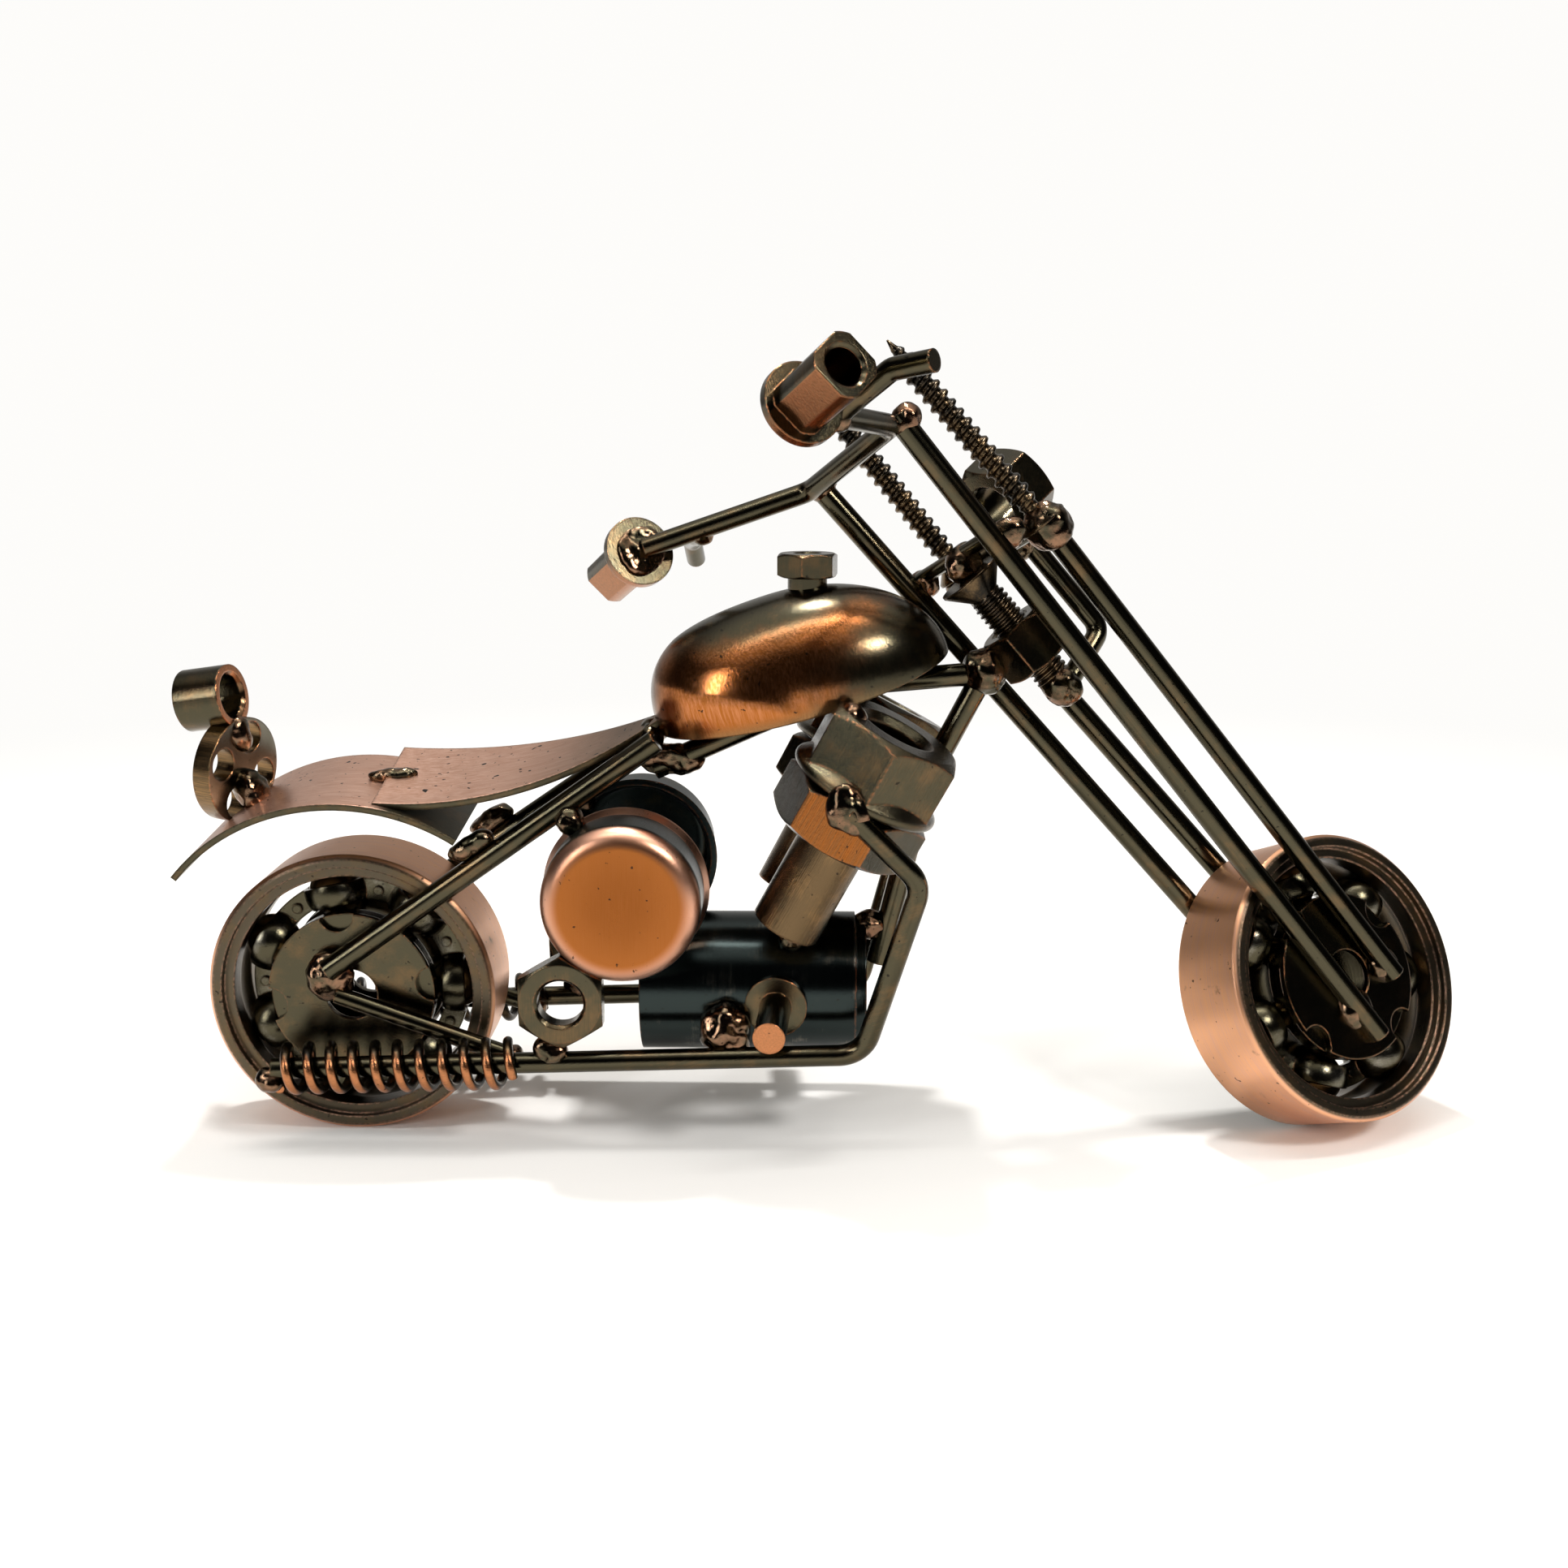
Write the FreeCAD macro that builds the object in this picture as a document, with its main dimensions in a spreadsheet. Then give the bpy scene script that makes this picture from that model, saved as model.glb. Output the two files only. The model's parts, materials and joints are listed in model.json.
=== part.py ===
import FreeCAD, Part
import math
import os

from FreeCAD import Placement, Rotation, Vector

# A desk-top chopper welded up from ball bearings, nuts, screws, wire rod and sheet scraps.
# Right is the -Y side, left the +Y side.  Lengths are millimetres, angles degrees.

os.makedirs("parts", exist_ok=True)
doc = FreeCAD.newDocument("Chopper")

DIMENSIONS = (
    # alias, value, meaning
    ("origin_x", 53.297, "length position of the row origin, forward of the rear axle"),
    ("origin_y", -8.07, "side position of the row origin, from the bike's centre plane"),
    ("wheel_radius", 16.0, "outside radius of the ball bearings used as wheels"),
    ("wheel_width", 10.0, "width of a bearing's outer ring"),
    ("wheel_chamfer", 0.5, "chamfer on the tread's edges"),
    ("seal_radius", 14.55, "recess where a seal would sit"),
    ("seal_depth", 0.9, "depth of that recess"),
    ("shoulder_radius", 13.4, "outer ring's shoulder beside the raceway"),
    ("pitch_radius", 11.0, "circle of the ball centres"),
    ("ball_radius", 2.9765, "balls of 15/64 inch"),
    ("race_clearance", 0.03, "gap between a ball and each raceway"),
    ("groove_radius", 3.1, "radius of the raceway's cross-section"),
    ("inner_bore", 6.0, "radius of the inner ring's bore"),
    ("inner_shoulder", 9.15, "inner ring's shoulder radius"),
    ("inner_width", 8.4, "width of an inner ring"),
    ("disc_radius", 9.25, "notched disc welded over each side of an inner ring"),
    ("disc_thickness", 0.8, "thickness of that disc"),
    ("disc_hole", 2.9, "radius of the hole in its middle"),
    ("disc_notch", 1.9, "radius of the half-round notches in its rim"),
    ("cage_inside", 9.8, "inside radius of the pressed ribbon cage"),
    ("cage_outside", 12.3, "outside radius of that cage"),
    ("cage_sheet", 0.45, "sheet thickness of the cage"),
    ("cage_gap", 0.12, "gap between a ball and its pocket"),
    ("rivet_radius", 0.55, "rivets that join the two halves of a cage"),
    ("rod_radius", 1.28, "wire rod that the frame, fork and handlebar are bent from"),
    ("thin_rod", 1.15, "thinner rod of the exhausts and handlebar"),
    ("stay_radius", 1.0, "chain stay"),
    ("clamp_rod", 0.8, "rear clamp bar"),
    ("rod_bend", 3.5, "usual bend radius of that rod, on its centre line"),
    ("rake", 40.96, "steering axis back from the vertical"),
    ("head_x", 75.3, "steering axis at the height of the headstock nut"),
    ("head_z", 54.0, "height at which that is measured"),
    ("steer", 36.4, "how far the fork stands turned to the left at rest"),
    ("axle_lead", 0.9, "front axle's distance ahead of the steering axis"),
    ("fork_rake", 40.62, "fork rods back from the vertical"),
    ("bolt_radius", 2.0, "M4 steering bolt over its thread"),
    ("bolt_root", 1.68, "root radius of that thread"),
    ("bolt_pitch", 0.7, "pitch of that thread"),
    ("bolt_head", 3.75, "radius of its countersunk head"),
    ("headstock_bore", 2.05, "radius of the headstock nut's hole, running on the bolt"),
    ("headstock_flats", 7.2, "headstock nut across flats"),
    ("headstock_height", 5.4, "headstock nut's height"),
    ("screw_radius", 1.38, "self-tapping screws over the thread"),
    ("screw_root", 0.95, "root radius of that thread"),
    ("screw_pitch", 1.28, "pitch of that thread"),
    ("screw_length", 25.1, "screw's length from under the head to the tip"),
    ("lamp_flats", 9.0, "headlight nut across flats"),
    ("lamp_height", 5.2, "headlight nut's height"),
    ("lamp_bore", 2.5, "radius of its hole"),
    ("grip_flange", 3.95, "radius of a grip's flange"),
    ("grip_flange_thickness", 1.0, "thickness of that flange"),
    ("grip_barrel", 2.65, "half the width of a grip's rounded square barrel"),
    ("grip_bore", 1.75, "radius of a grip's hole"),
    ("grip_length", 9.0, "length of a grip"),
    ("lever_radius", 1.1, "lever rod"),
    ("spring_wire", 0.55, "radius of the muffler spring's wire"),
    ("spring_mean", 2.35, "mean radius of its coils"),
    ("spring_pitch", 2.42, "distance from coil to coil"),
    ("spring_turns", 10.8, "number of coils"),
    ("side_flats", 9.0, "nut at the exhaust, across flats"),
    ("side_height", 2.6, "its thickness"),
    ("side_bore", 2.5, "radius of its hole"),
    ("drum_radius", 8.6, "side drum's outside radius"),
    ("drum_rim", 9.15, "radius of its flared rim"),
    ("drum_depth", 8.0, "its depth"),
    ("drum_round", 2.2, "radius between its face and its wall"),
    ("drum_wall", 0.7, "its sheet thickness"),
    ("case_radius", 7.8, "crankcase tube's outside radius"),
    ("case_wall", 0.9, "its wall"),
    ("case_length", 23.8, "its length"),
    ("peg_radius", 1.72, "foot peg"),
    ("peg_washer", 3.4, "radius of the washer at its root"),
    ("engine_lean", 28.0, "engine cylinders forward of the vertical"),
    ("engine_splay", 5.0, "engine cylinders outward"),
    ("engine_base", 7.3, "cylinder's foot, out from the centre plane"),
    ("cylinder_radius", 3.8, "engine cylinder"),
    ("cylinder_length", 14.0, "its length, partly inside the nut above"),
    ("block_flats", 14.4, "lower engine nut across flats"),
    ("block_height", 5.7, "its height"),
    ("head_flats", 14.0, "upper engine nut across flats"),
    ("head_height", 7.7, "its height over its flange"),
    ("head_flange", 8.3, "radius of its flange"),
    ("head_bore", 3.4, "radius of its hole"),
    ("tank_length", 33.0, "fuel tank shell"),
    ("tank_width", 20.4, "its width at the rim"),
    ("tank_height", 10.9, "its height over the rim"),
    ("tank_wall", 0.7, "its sheet thickness"),
    ("tank_pitch", 16.0, "nose up"),
    ("tank_roll", 11.0, "tank and seat lean to the right, as they were welded"),
    ("cap_flats", 6.0, "fuel cap nut across flats"),
    ("cap_height", 2.6, "its height"),
    ("cap_bore", 1.25, "radius of its threaded hole, M3"),
    ("cap_neck_radius", 2.15, "neck that stands it on the tank"),
    ("cap_neck_height", 1.4, "height of that neck, partly sunk in the tank's top"),
    ("cap_relief", 1.6, "radius of the hole through the neck, wider than the thread"),
    ("sheet", 0.7, "thickness of the seat and fender sheet"),
    ("seat_width", 16.0, "seat at its rear edge"),
    ("fender_radius", 23.6, "outside radius of the fender, about the rear axle"),
    ("fender_width", 18.0, "its width"),
    ("fender_front", 56.0, "angle of its front edge above the horizontal"),
    ("fender_rear", 140.0, "angle of its rear edge"),
    ("fender_roll", 6.0, "its lean to the right"),
    ("tail_radius", 5.9, "tail-lamp disc"),
    ("tail_thickness", 2.2, "its thickness"),
    ("tail_hole", 1.8, "radius of its four holes"),
    ("tail_hole_circle", 3.7, "circle of those holes"),
    ("sleeve_radius", 3.45, "sleeve on top of the disc"),
    ("sleeve_bore", 2.35, "radius of its hole"),
    ("sleeve_length", 5.3, "its length"),
)

sheet = doc.addObject("Spreadsheet::Sheet", "Dimensions")
for row, (alias, value, meaning) in enumerate(DIMENSIONS, start=1):
    sheet.set(f"A{row}", alias)
    sheet.set(f"B{row}", str(value))
    sheet.setAlias(f"B{row}", alias)
    sheet.set(f"C{row}", meaning)
doc.recompute()


def size(alias):
    """A driving dimension as a plain number."""
    return float(sheet.get(alias))


def cell(alias):
    """The same dimension as an expression."""
    return "Dimensions." + alias


UP = Vector(0, 0, 1)
SIDES = (("right", -1), ("left", 1))
BALLS = 7

# ---------------------------------------------------------------- where things are
# BIKE holds everything that is fixed to the frame, FORK everything that steers.  The fork is
# laid out pointing straight ahead and then turned about the steering axis.

HEAD = Vector(size("head_x"), 0, size("head_z"))
STEERING_AXIS = Vector(-math.sin(math.radians(size("rake"))), 0, math.cos(math.radians(size("rake"))))
HEAD_FORWARD = Vector(STEERING_AXIS.z, 0, -STEERING_AXIS.x)

BIKE = Placement(Vector(-size("origin_x"), -size("origin_y"), 0), Rotation())
TURN = Placement(Vector(), Rotation(STEERING_AXIS, size("steer")), HEAD)
FORK = BIKE * TURN


def floor_height(axle):
    """Height of a wheel's centre when its tread stands on the floor, for any tilt of its axle."""
    upright = math.sqrt(1 - axle.z ** 2)
    radius = size("wheel_radius")
    half = size("wheel_width") / 2
    chamfer = size("wheel_chamfer")
    on_face_edge = (radius - chamfer) * upright + half * abs(axle.z)
    on_tread_edge = radius * upright + (half - chamfer) * abs(axle.z)
    return max(on_face_edge, on_tread_edge)


def front_axle():
    """Centre of the front wheel in the straight fork, so that it meets the floor when turned."""
    turned_forward = TURN.Rotation.multVec(HEAD_FORWARD)
    turned_axle = TURN.Rotation.multVec(Vector(0, 1, 0))
    height = floor_height(turned_axle) - HEAD.z - size("axle_lead") * turned_forward.z
    down_the_axis = height / STEERING_AXIS.z
    return HEAD + STEERING_AXIS * down_the_axis + HEAD_FORWARD * size("axle_lead")


FRONT_AXLE = front_axle()
REAR_AXLE = Vector(0, 0, size("wheel_radius"))
ALONG_Y = Rotation(UP, Vector(0, 1, 0))


def fork_rod_point(offset, height, side):
    """A point on a fork rod: offset is its distance forward at headstock height."""
    forward = (HEAD.z - height) * math.tan(math.radians(size("fork_rake")))
    half_spacing = 5.75 + 0.058 * (height - 16)
    return Vector(offset + forward, side * half_spacing, height)


REAR_ROD = 73.85
FRONT_ROD = 82.6

# ---------------------------------------------------------------- ways of making a piece

sub_parts = []


def sub_part(piece, frame, local=Placement()):
    """Name a finished piece and put it where it belongs."""
    piece.Label = piece.Name
    piece.Placement = frame * local
    sub_parts.append(piece)
    return piece


def facing(point, direction, clock=0):
    """The placement that takes +Z to a direction at a point, clocked about it."""
    return Placement(point, Rotation(UP, direction) * Rotation(UP, clock))


def primitive(kind, name, local=Placement(), **sizes):
    """A Part primitive with each of its sizes bound to an expression."""
    body = doc.addObject("Part::" + kind, name)
    for prop, expression in sizes.items():
        body.setExpression(prop, expression)
    body.Placement = local
    return body


def cut(name, base, tool):
    body = doc.addObject("Part::Cut", name)
    body.Base = base
    body.Tool = tool
    return body


def fuse(name, pieces):
    body = doc.addObject("Part::MultiFuse", name)
    body.Shapes = pieces
    return body


def common(name, pieces):
    body = doc.addObject("Part::MultiCommon", name)
    body.Shapes = pieces
    return body


def group(name, pieces):
    """Separate solids kept in one node."""
    body = doc.addObject("Part::Compound", name)
    body.Links = pieces
    return body


def outline(steps):
    """A closed outline in the XZ plane from (x, z) points; a step of two points is an arc
    through the first to the second."""
    edges = []
    here = Vector(steps[0][0], 0, steps[0][1])
    first = here
    for step in steps[1:]:
        if isinstance(step[0], tuple):
            middle = Vector(step[0][0], 0, step[0][1])
            there = Vector(step[1][0], 0, step[1][1])
            edges.append(Part.Arc(here, middle, there).toShape())
        else:
            there = Vector(step[0], 0, step[1])
            edges.append(Part.LineSegment(here, there).toShape())
        here = there
    if here.distanceToPoint(first) > 1e-6:
        edges.append(Part.LineSegment(here, first).toShape())
    return Part.Face(Part.Wire(edges))


def turned(name, steps):
    """A piece turned about Z from an outline of (radius, height) points."""
    profile = doc.addObject("Part::Feature", name + "_profile")
    profile.Shape = outline(steps)
    body = doc.addObject("Part::Revolution", name)
    body.Source = profile
    body.Axis = UP
    body.Angle = 360
    body.Solid = True
    return body


def straight_rod(name, start, end, frame, radius="rod_radius"):
    rod = primitive("Cylinder", name, Radius=cell(radius))
    rod.Height = start.distanceToPoint(end)
    return sub_part(rod, frame, facing(start, end - start))


def bent_route(points, bend):
    """Straight runs joined by tangent arcs."""
    edges = []
    start = points[0]
    for before, corner, after in zip(points, points[1:], points[2:]):
        back = (before - corner).normalize()
        onward = (after - corner).normalize()
        half = back.getAngle(onward) / 2
        reach = bend / math.tan(half)
        centre = corner + (back + onward).normalize() * (bend / math.sin(half))
        middle = centre + (corner - centre).normalize() * bend
        edges.append(Part.LineSegment(start, corner + back * reach).toShape())
        edges.append(Part.Arc(corner + back * reach, middle, corner + onward * reach).toShape())
        start = corner + onward * reach
    edges.append(Part.LineSegment(start, points[-1]).toShape())
    return Part.Wire(edges)


def swept(name, route_shape, section, frenet=False):
    route = doc.addObject("Part::Feature", name + "_route")
    route.Shape = route_shape
    body = doc.addObject("Part::Sweep", name)
    body.Sections = [section]
    body.Spine = (route, [f"Edge{i + 1}" for i in range(len(route_shape.Edges))])
    body.Solid = True
    body.Frenet = frenet
    return body


def bent_rod(name, points, frame, bend=None, radius="rod_radius"):
    section = primitive("Circle", name + "_section", facing(points[0], points[1] - points[0]),
                        Radius=cell(radius))
    rod = swept(name, bent_route(points, bend or size("rod_bend")), section)
    return sub_part(rod, frame)


def hexagon(name, flats, height):
    """A hexagon bar end with its corners turned off at 30 degrees on both faces."""
    bar = primitive("Prism", name + "_bar", Circumradius=f"{cell(flats)} / sqrt(3)", Height=cell(height))
    bar.Polygon = 6
    corner = size(flats) / math.sqrt(3) + 0.01
    face = size(flats) / 2 * 0.97
    drop = (corner - face) * math.tan(math.radians(30))
    top = size(height)
    steps = ((0, 0), (face, 0), (corner, drop), (corner, top - drop), (face, top), (0, top))
    return common(name, [bar, turned(name + "_skin", steps)])


def drill(name, radius, height, mouth=0.35):
    """The cutter for a through hole with a small countersink at both ends."""
    hole = size(radius)
    top = size(height)
    past = 1.0
    return turned(name, ((0, -past), (hole + mouth + past, -past), (hole, mouth), (hole, top - mouth),
                         (hole + mouth + past, top + past), (0, top + past)))


def nut(name, flats, height, bore, frame, local):
    body = cut(name, hexagon(name + "_hexagon", flats, height), drill(name + "_drill", bore, height))
    return sub_part(body, frame, local)


def ridges(root, crest, pitch, start, end):
    """Outline points of a thread drawn as rings, from one height to another."""
    points = []
    turns = int((end - start) / pitch)
    for turn in range(turns):
        foot = start + turn * pitch
        points.append((root, foot + 0.15 * pitch))
        points.append((crest, foot + 0.45 * pitch))
        points.append((crest, foot + 0.55 * pitch))
        points.append((root, foot + 0.85 * pitch))
    return points


def bead(name, centre, radii, direction=UP):
    """A lump of weld: an ellipsoid, its first radius along a direction."""
    lump = doc.addObject("Part::Ellipsoid", name)
    lump.Radius1 = radii[0]
    lump.Radius2 = radii[1]
    lump.Radius3 = radii[2]
    lump.Placement = facing(centre, direction)
    return lump


# ---------------------------------------------------------------- wheels

def outer_ring(name, frame, axle):
    """The tread: a bearing's outer ring, free to turn on the balls."""
    half = size("wheel_width") / 2
    rim = size("wheel_radius")
    chamfer = size("wheel_chamfer")
    recess = half - size("seal_depth")
    shoulder = size("shoulder_radius")
    bottom = size("pitch_radius") + size("ball_radius") + size("race_clearance")
    groove = size("groove_radius")
    lip = math.sqrt(groove ** 2 - (shoulder - (bottom - groove)) ** 2)
    steps = ((rim - chamfer, -half), (rim, chamfer - half), (rim, half - chamfer), (rim - chamfer, half),
             (size("seal_radius"), half), (size("seal_radius"), recess), (shoulder, recess), (shoulder, lip),
             ((bottom, 0), (shoulder, -lip)), (shoulder, -recess), (size("seal_radius"), -recess),
             (size("seal_radius"), -half))
    return sub_part(turned(name, steps), frame, Placement(axle, ALONG_Y))


def inner_ring(name, frame, axle):
    """The bearing's inner ring, which the frame or fork is welded to."""
    half = size("inner_width") / 2
    shoulder = size("inner_shoulder")
    bottom = size("pitch_radius") - size("ball_radius") - size("race_clearance")
    groove = size("groove_radius")
    lip = math.sqrt(groove ** 2 - (bottom + groove - shoulder) ** 2)
    bore = size("inner_bore")
    steps = ((bore, -half), (shoulder, -half), (shoulder, -lip), ((bottom, 0), (shoulder, lip)),
             (shoulder, half), (bore, half))
    return sub_part(turned(name, steps), frame, Placement(axle, ALONG_Y))


def on_pitch_circle(step, half_step=False):
    """Where a ball sits, or a rivet half-way between two balls."""
    angle = 2 * math.pi * (step + (0.5 if half_step else 0)) / BALLS
    return Vector(math.cos(angle), math.sin(angle), 0) * size("pitch_radius")


def balls(name, frame, axle):
    pieces = []
    for step in range(BALLS):
        place = Placement(on_pitch_circle(step), Rotation())
        pieces.append(primitive("Sphere", f"{name}_{step + 1}", place, Radius=cell("ball_radius")))
    return sub_part(group(name, pieces), frame, Placement(axle, ALONG_Y))


def ball_cage(name, frame, axle):
    """Two pressed ribbons riveted together: flat between the balls, domed over them."""
    flat = 2 * size("cage_sheet")
    pocket = size("ball_radius") + size("cage_gap")
    band = primitive("Cylinder", name + "_band", Placement(Vector(0, 0, -flat / 2), Rotation()),
                     Radius=cell("cage_outside"), Height=f"2 * {cell('cage_sheet')}")
    domes = [band]
    pockets = []
    rivets = []
    for step in range(BALLS):
        centre = on_pitch_circle(step)
        place = facing(centre, centre)
        dome = primitive("Sphere", f"{name}_dome_{step + 1}", place,
                         Radius=f"{cell('ball_radius')} + {cell('cage_gap')} + {cell('cage_sheet')}")
        domes.append(dome)
        hollow = primitive("Sphere", f"{name}_pocket_{step + 1}", place)
        hollow.Radius = pocket
        pockets.append(hollow)
        foot = on_pitch_circle(step, half_step=True) - UP * (flat / 2 + 0.35)
        rivet = primitive("Cylinder", f"{name}_rivet_{step + 1}", Placement(foot, Rotation()),
                          Radius=cell("rivet_radius"), Height=f"2 * {cell('cage_sheet')} + 0.7")
        rivets.append(rivet)
    blank = fuse(name + "_blank", domes + rivets)
    reach = 2 * (pocket + size("cage_sheet"))
    ribbon_outside = primitive("Cylinder", name + "_outside", Placement(Vector(0, 0, -reach / 2), Rotation()),
                               Radius=cell("cage_outside"))
    ribbon_outside.Height = reach
    ribbon_inside = primitive("Cylinder", name + "_inside", Placement(Vector(0, 0, -reach), Rotation()),
                              Radius=cell("cage_inside"))
    ribbon_inside.Height = 2 * reach
    trimmed = common(name + "_trimmed", [blank, ribbon_outside])
    return sub_part(cut(name, trimmed, fuse(name + "_openings", pockets + [ribbon_inside])), frame,
                    Placement(axle, ALONG_Y))


def hub_disc(name, frame, axle, side, clock):
    """A washer with four half-round notches in its rim, welded over the inner ring."""
    thickness = size("disc_thickness")
    blank = primitive("Cylinder", name + "_blank", Radius=cell("disc_radius"), Height=cell("disc_thickness"))
    through = 3 * thickness
    below = Placement(UP * -thickness, Rotation())
    holes = [primitive("Cylinder", name + "_hole", below, Radius=cell("disc_hole"))]
    for quarter in range(4):
        angle = math.radians(90 * quarter)
        rim = Vector(math.cos(angle), math.sin(angle), 0) * size("disc_radius") - UP * thickness
        holes.append(primitive("Cylinder", f"{name}_notch_{quarter + 1}", Placement(rim, Rotation()),
                               Radius=cell("disc_notch")))
    for hole in holes:
        hole.Height = through
    start = axle + Vector(0, side * size("inner_width") / 2, 0)
    disc = cut(name, blank, fuse(name + "_cutters", holes))
    return sub_part(disc, frame, facing(start, Vector(0, side, 0), clock))


def wheel(prefix, frame, axle, clock):
    outer_ring(prefix + "_outer_ring", frame, axle)
    inner_ring(prefix + "_inner_ring", frame, axle)
    balls(prefix + "_balls", frame, axle)
    ball_cage(prefix + "_ball_cage", frame, axle)
    for word, side in SIDES:
        hub_disc(f"{prefix}_hub_disc_{word}", frame, axle, side, clock)


wheel("rear", BIKE, REAR_AXLE, 8)
wheel("front", FORK, FRONT_AXLE, 50)

# ---------------------------------------------------------------- frame rods

bent_rod("backbone_rod", (Vector(71.4, 0, 51.8), Vector(55, 0, 50.4), Vector(33.8, 0, 40.9)), BIKE, bend=12)
bent_rod("down_tube", (Vector(69.6, 0, 50.8), Vector(63.9, 0, 39.6), Vector(58.8, 0, 18.6)), BIKE, bend=30)

for word, side in SIDES:
    straight_rod("seat_stay_" + word, Vector(-1.8, side * 7.5, 19.6), Vector(34.4, side * 4.4, 44.8), BIKE)
    straight_rod("chain_stay_" + word, Vector(-1.0, side * 7.2, 16.7), Vector(17.6, side * 8.3, 10.4), BIKE,
                 "stay_radius")
    bent_rod("exhaust_pipe_" + word,
             (Vector(54.9, side * 16.9, 40.0), Vector(62.7, side * 14.8, 31.8), Vector(56.9, side * 11, 11.6),
              Vector(-7.4, side * 10.9, 9.5)), BIKE, radius="thin_rod")
    spring_start = Vector(-6.9, side * 10.9, 9.51)
    helix = primitive("Helix", f"muffler_spring_{word}_helix", Pitch=cell("spring_pitch"),
                      Height=f"{cell('spring_pitch')} * {cell('spring_turns')}", Radius=cell("spring_mean"))
    wire = primitive("Circle", f"muffler_spring_{word}_wire",
                     Placement(Vector(size("spring_mean"), 0, 0), Rotation(Vector(1, 0, 0), 90)),
                     Radius=cell("spring_wire"))
    spring = doc.addObject("Part::Sweep", "muffler_spring_" + word)
    spring.Sections = [wire]
    spring.Spine = (helix, ["Edge1"])
    spring.Solid = True
    spring.Frenet = True
    sub_part(spring, BIKE, facing(spring_start, Vector(1, 0, 0.0327)))

# ---------------------------------------------------------------- side drums and nuts


def drum_cap(name, centre, side):
    """A drawn cup standing open towards the middle of the bike."""
    radius = size("drum_radius")
    rim = size("drum_rim")
    depth = size("drum_depth")
    bend = size("drum_round")
    wall = size("drum_wall")
    slant = math.sqrt(0.5)
    inner_bend = bend - wall
    steps = ((0, depth), (radius - bend, depth),
             ((radius - bend * (1 - slant), depth - bend * (1 - slant)), (radius, depth - bend)),
             (radius, 1.2), (rim, 0), (rim - wall, 0), (radius - wall, 1.2), (radius - wall, depth - bend),
             ((radius - wall - inner_bend * (1 - slant), depth - wall - inner_bend * (1 - slant)),
              (radius - bend, depth - wall)),
             (0, depth - wall))
    return sub_part(turned(name, steps), BIKE, facing(centre, Vector(0, side, 0)))


drum_cap("drum_cap_right", Vector(31.0, -5.2, 28.5), -1)
drum_cap("drum_cap_left", Vector(31.2, 6.0, 29.2), 1)

for word, side in SIDES:
    nut("side_nut_" + word, "side_flats", "side_height", "side_bore", BIKE,
        facing(Vector(24.4, side * 9.8, 17.6), Vector(0, side, 0), 30))

# ---------------------------------------------------------------- crankcase and engine

case_start = Vector(32.4, 0, 16.4)
case_tube = primitive("Cylinder", "crankcase_tube", Radius=cell("case_radius"), Height=cell("case_length"))
case_inside = primitive("Cylinder", "crankcase_inside", Placement(UP * 1.2, Rotation()),
                        Radius=f"{cell('case_radius')} - {cell('case_wall')}", Height=cell("case_length"))
case_plug = primitive("Cylinder", "crankcase_plug", Placement(UP * (size("case_length") - 1.2), Rotation()),
                      Radius=f"{cell('case_radius')} - {cell('case_wall')} / 2")
case_plug.Height = 2.4
sub_part(fuse("crankcase", [cut("crankcase_can", case_tube, case_inside), case_plug]), BIKE,
         facing(case_start, Vector(1, 0, 0)))

for word, side in SIDES:
    peg_root = Vector(47.5, side * 7.6, 16.1)
    peg_end = Vector(46.9, side * 17.2, 15.7)
    washer = primitive("Cylinder", f"foot_peg_{word}_washer", Radius=cell("peg_washer"))
    washer.Height = 1.0
    pin = primitive("Cylinder", f"foot_peg_{word}_pin", Radius=cell("peg_radius"))
    pin.Height = peg_root.distanceToPoint(peg_end)
    sub_part(fuse("foot_peg_" + word, [washer, pin]), BIKE, facing(peg_root, peg_end - peg_root))

LEAN = math.radians(size("engine_lean"))
SPLAY = math.radians(size("engine_splay"))


def engine_axis(side):
    return Vector(math.sin(LEAN), side * math.tan(SPLAY), math.cos(LEAN)).normalize()


def engine_point(side, along):
    """A point on the axis of one engine stack, measured from the cylinder's foot."""
    foot = Vector(48.5, side * size("engine_base"), 25.0)
    return foot + engine_axis(side) * along


def engine_place(side, along, clock=0):
    """+Z up the stack, with a flat of the nuts turned to the side of the bike."""
    up = engine_axis(side)
    outward = Vector(0, side, 0)
    outward = (outward - up * outward.dot(up)).normalize()
    clocked = Rotation(UP, clock)
    return Placement(engine_point(side, along), Rotation(outward.cross(up), outward, up, "ZXY") * clocked)


BLOCK_FOOT = 11.5
BLOCK_CLOCK = 12
HEAD_FOOT = 17.4

for word, side in SIDES:
    cylinder = primitive("Cylinder", "engine_cylinder_" + word, Radius=cell("cylinder_radius"),
                         Height=cell("cylinder_length"))
    sub_part(cylinder, BIKE, engine_place(side, 0))
    block = cut("engine_nut_" + word, hexagon(f"engine_nut_{word}_hexagon", "block_flats", "block_height"),
                drill(f"engine_nut_{word}_drill", "cylinder_radius", "block_height", mouth=0))
    sub_part(block, BIKE, engine_place(side, BLOCK_FOOT, clock=side * BLOCK_CLOCK))
    flange_radius = size("head_flange")
    flange = turned(f"flange_nut_{word}_flange",
                    ((0, 0), (flange_radius - 0.4, 0), ((flange_radius, 0.6), (flange_radius - 0.3, 1.2)),
                     (6.6, 2.4), (0, 2.4)))
    head = hexagon(f"flange_nut_{word}_hexagon", "head_flats", "head_height")
    solid = fuse(f"flange_nut_{word}_solid", [flange, head])
    bore = drill(f"flange_nut_{word}_drill", "head_bore", "head_height", mouth=0.8)
    sub_part(cut("flange_nut_" + word, solid, bore), BIKE, engine_place(side, HEAD_FOOT, clock=30))

# ---------------------------------------------------------------- tank, seat, fender, tail lamp

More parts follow.
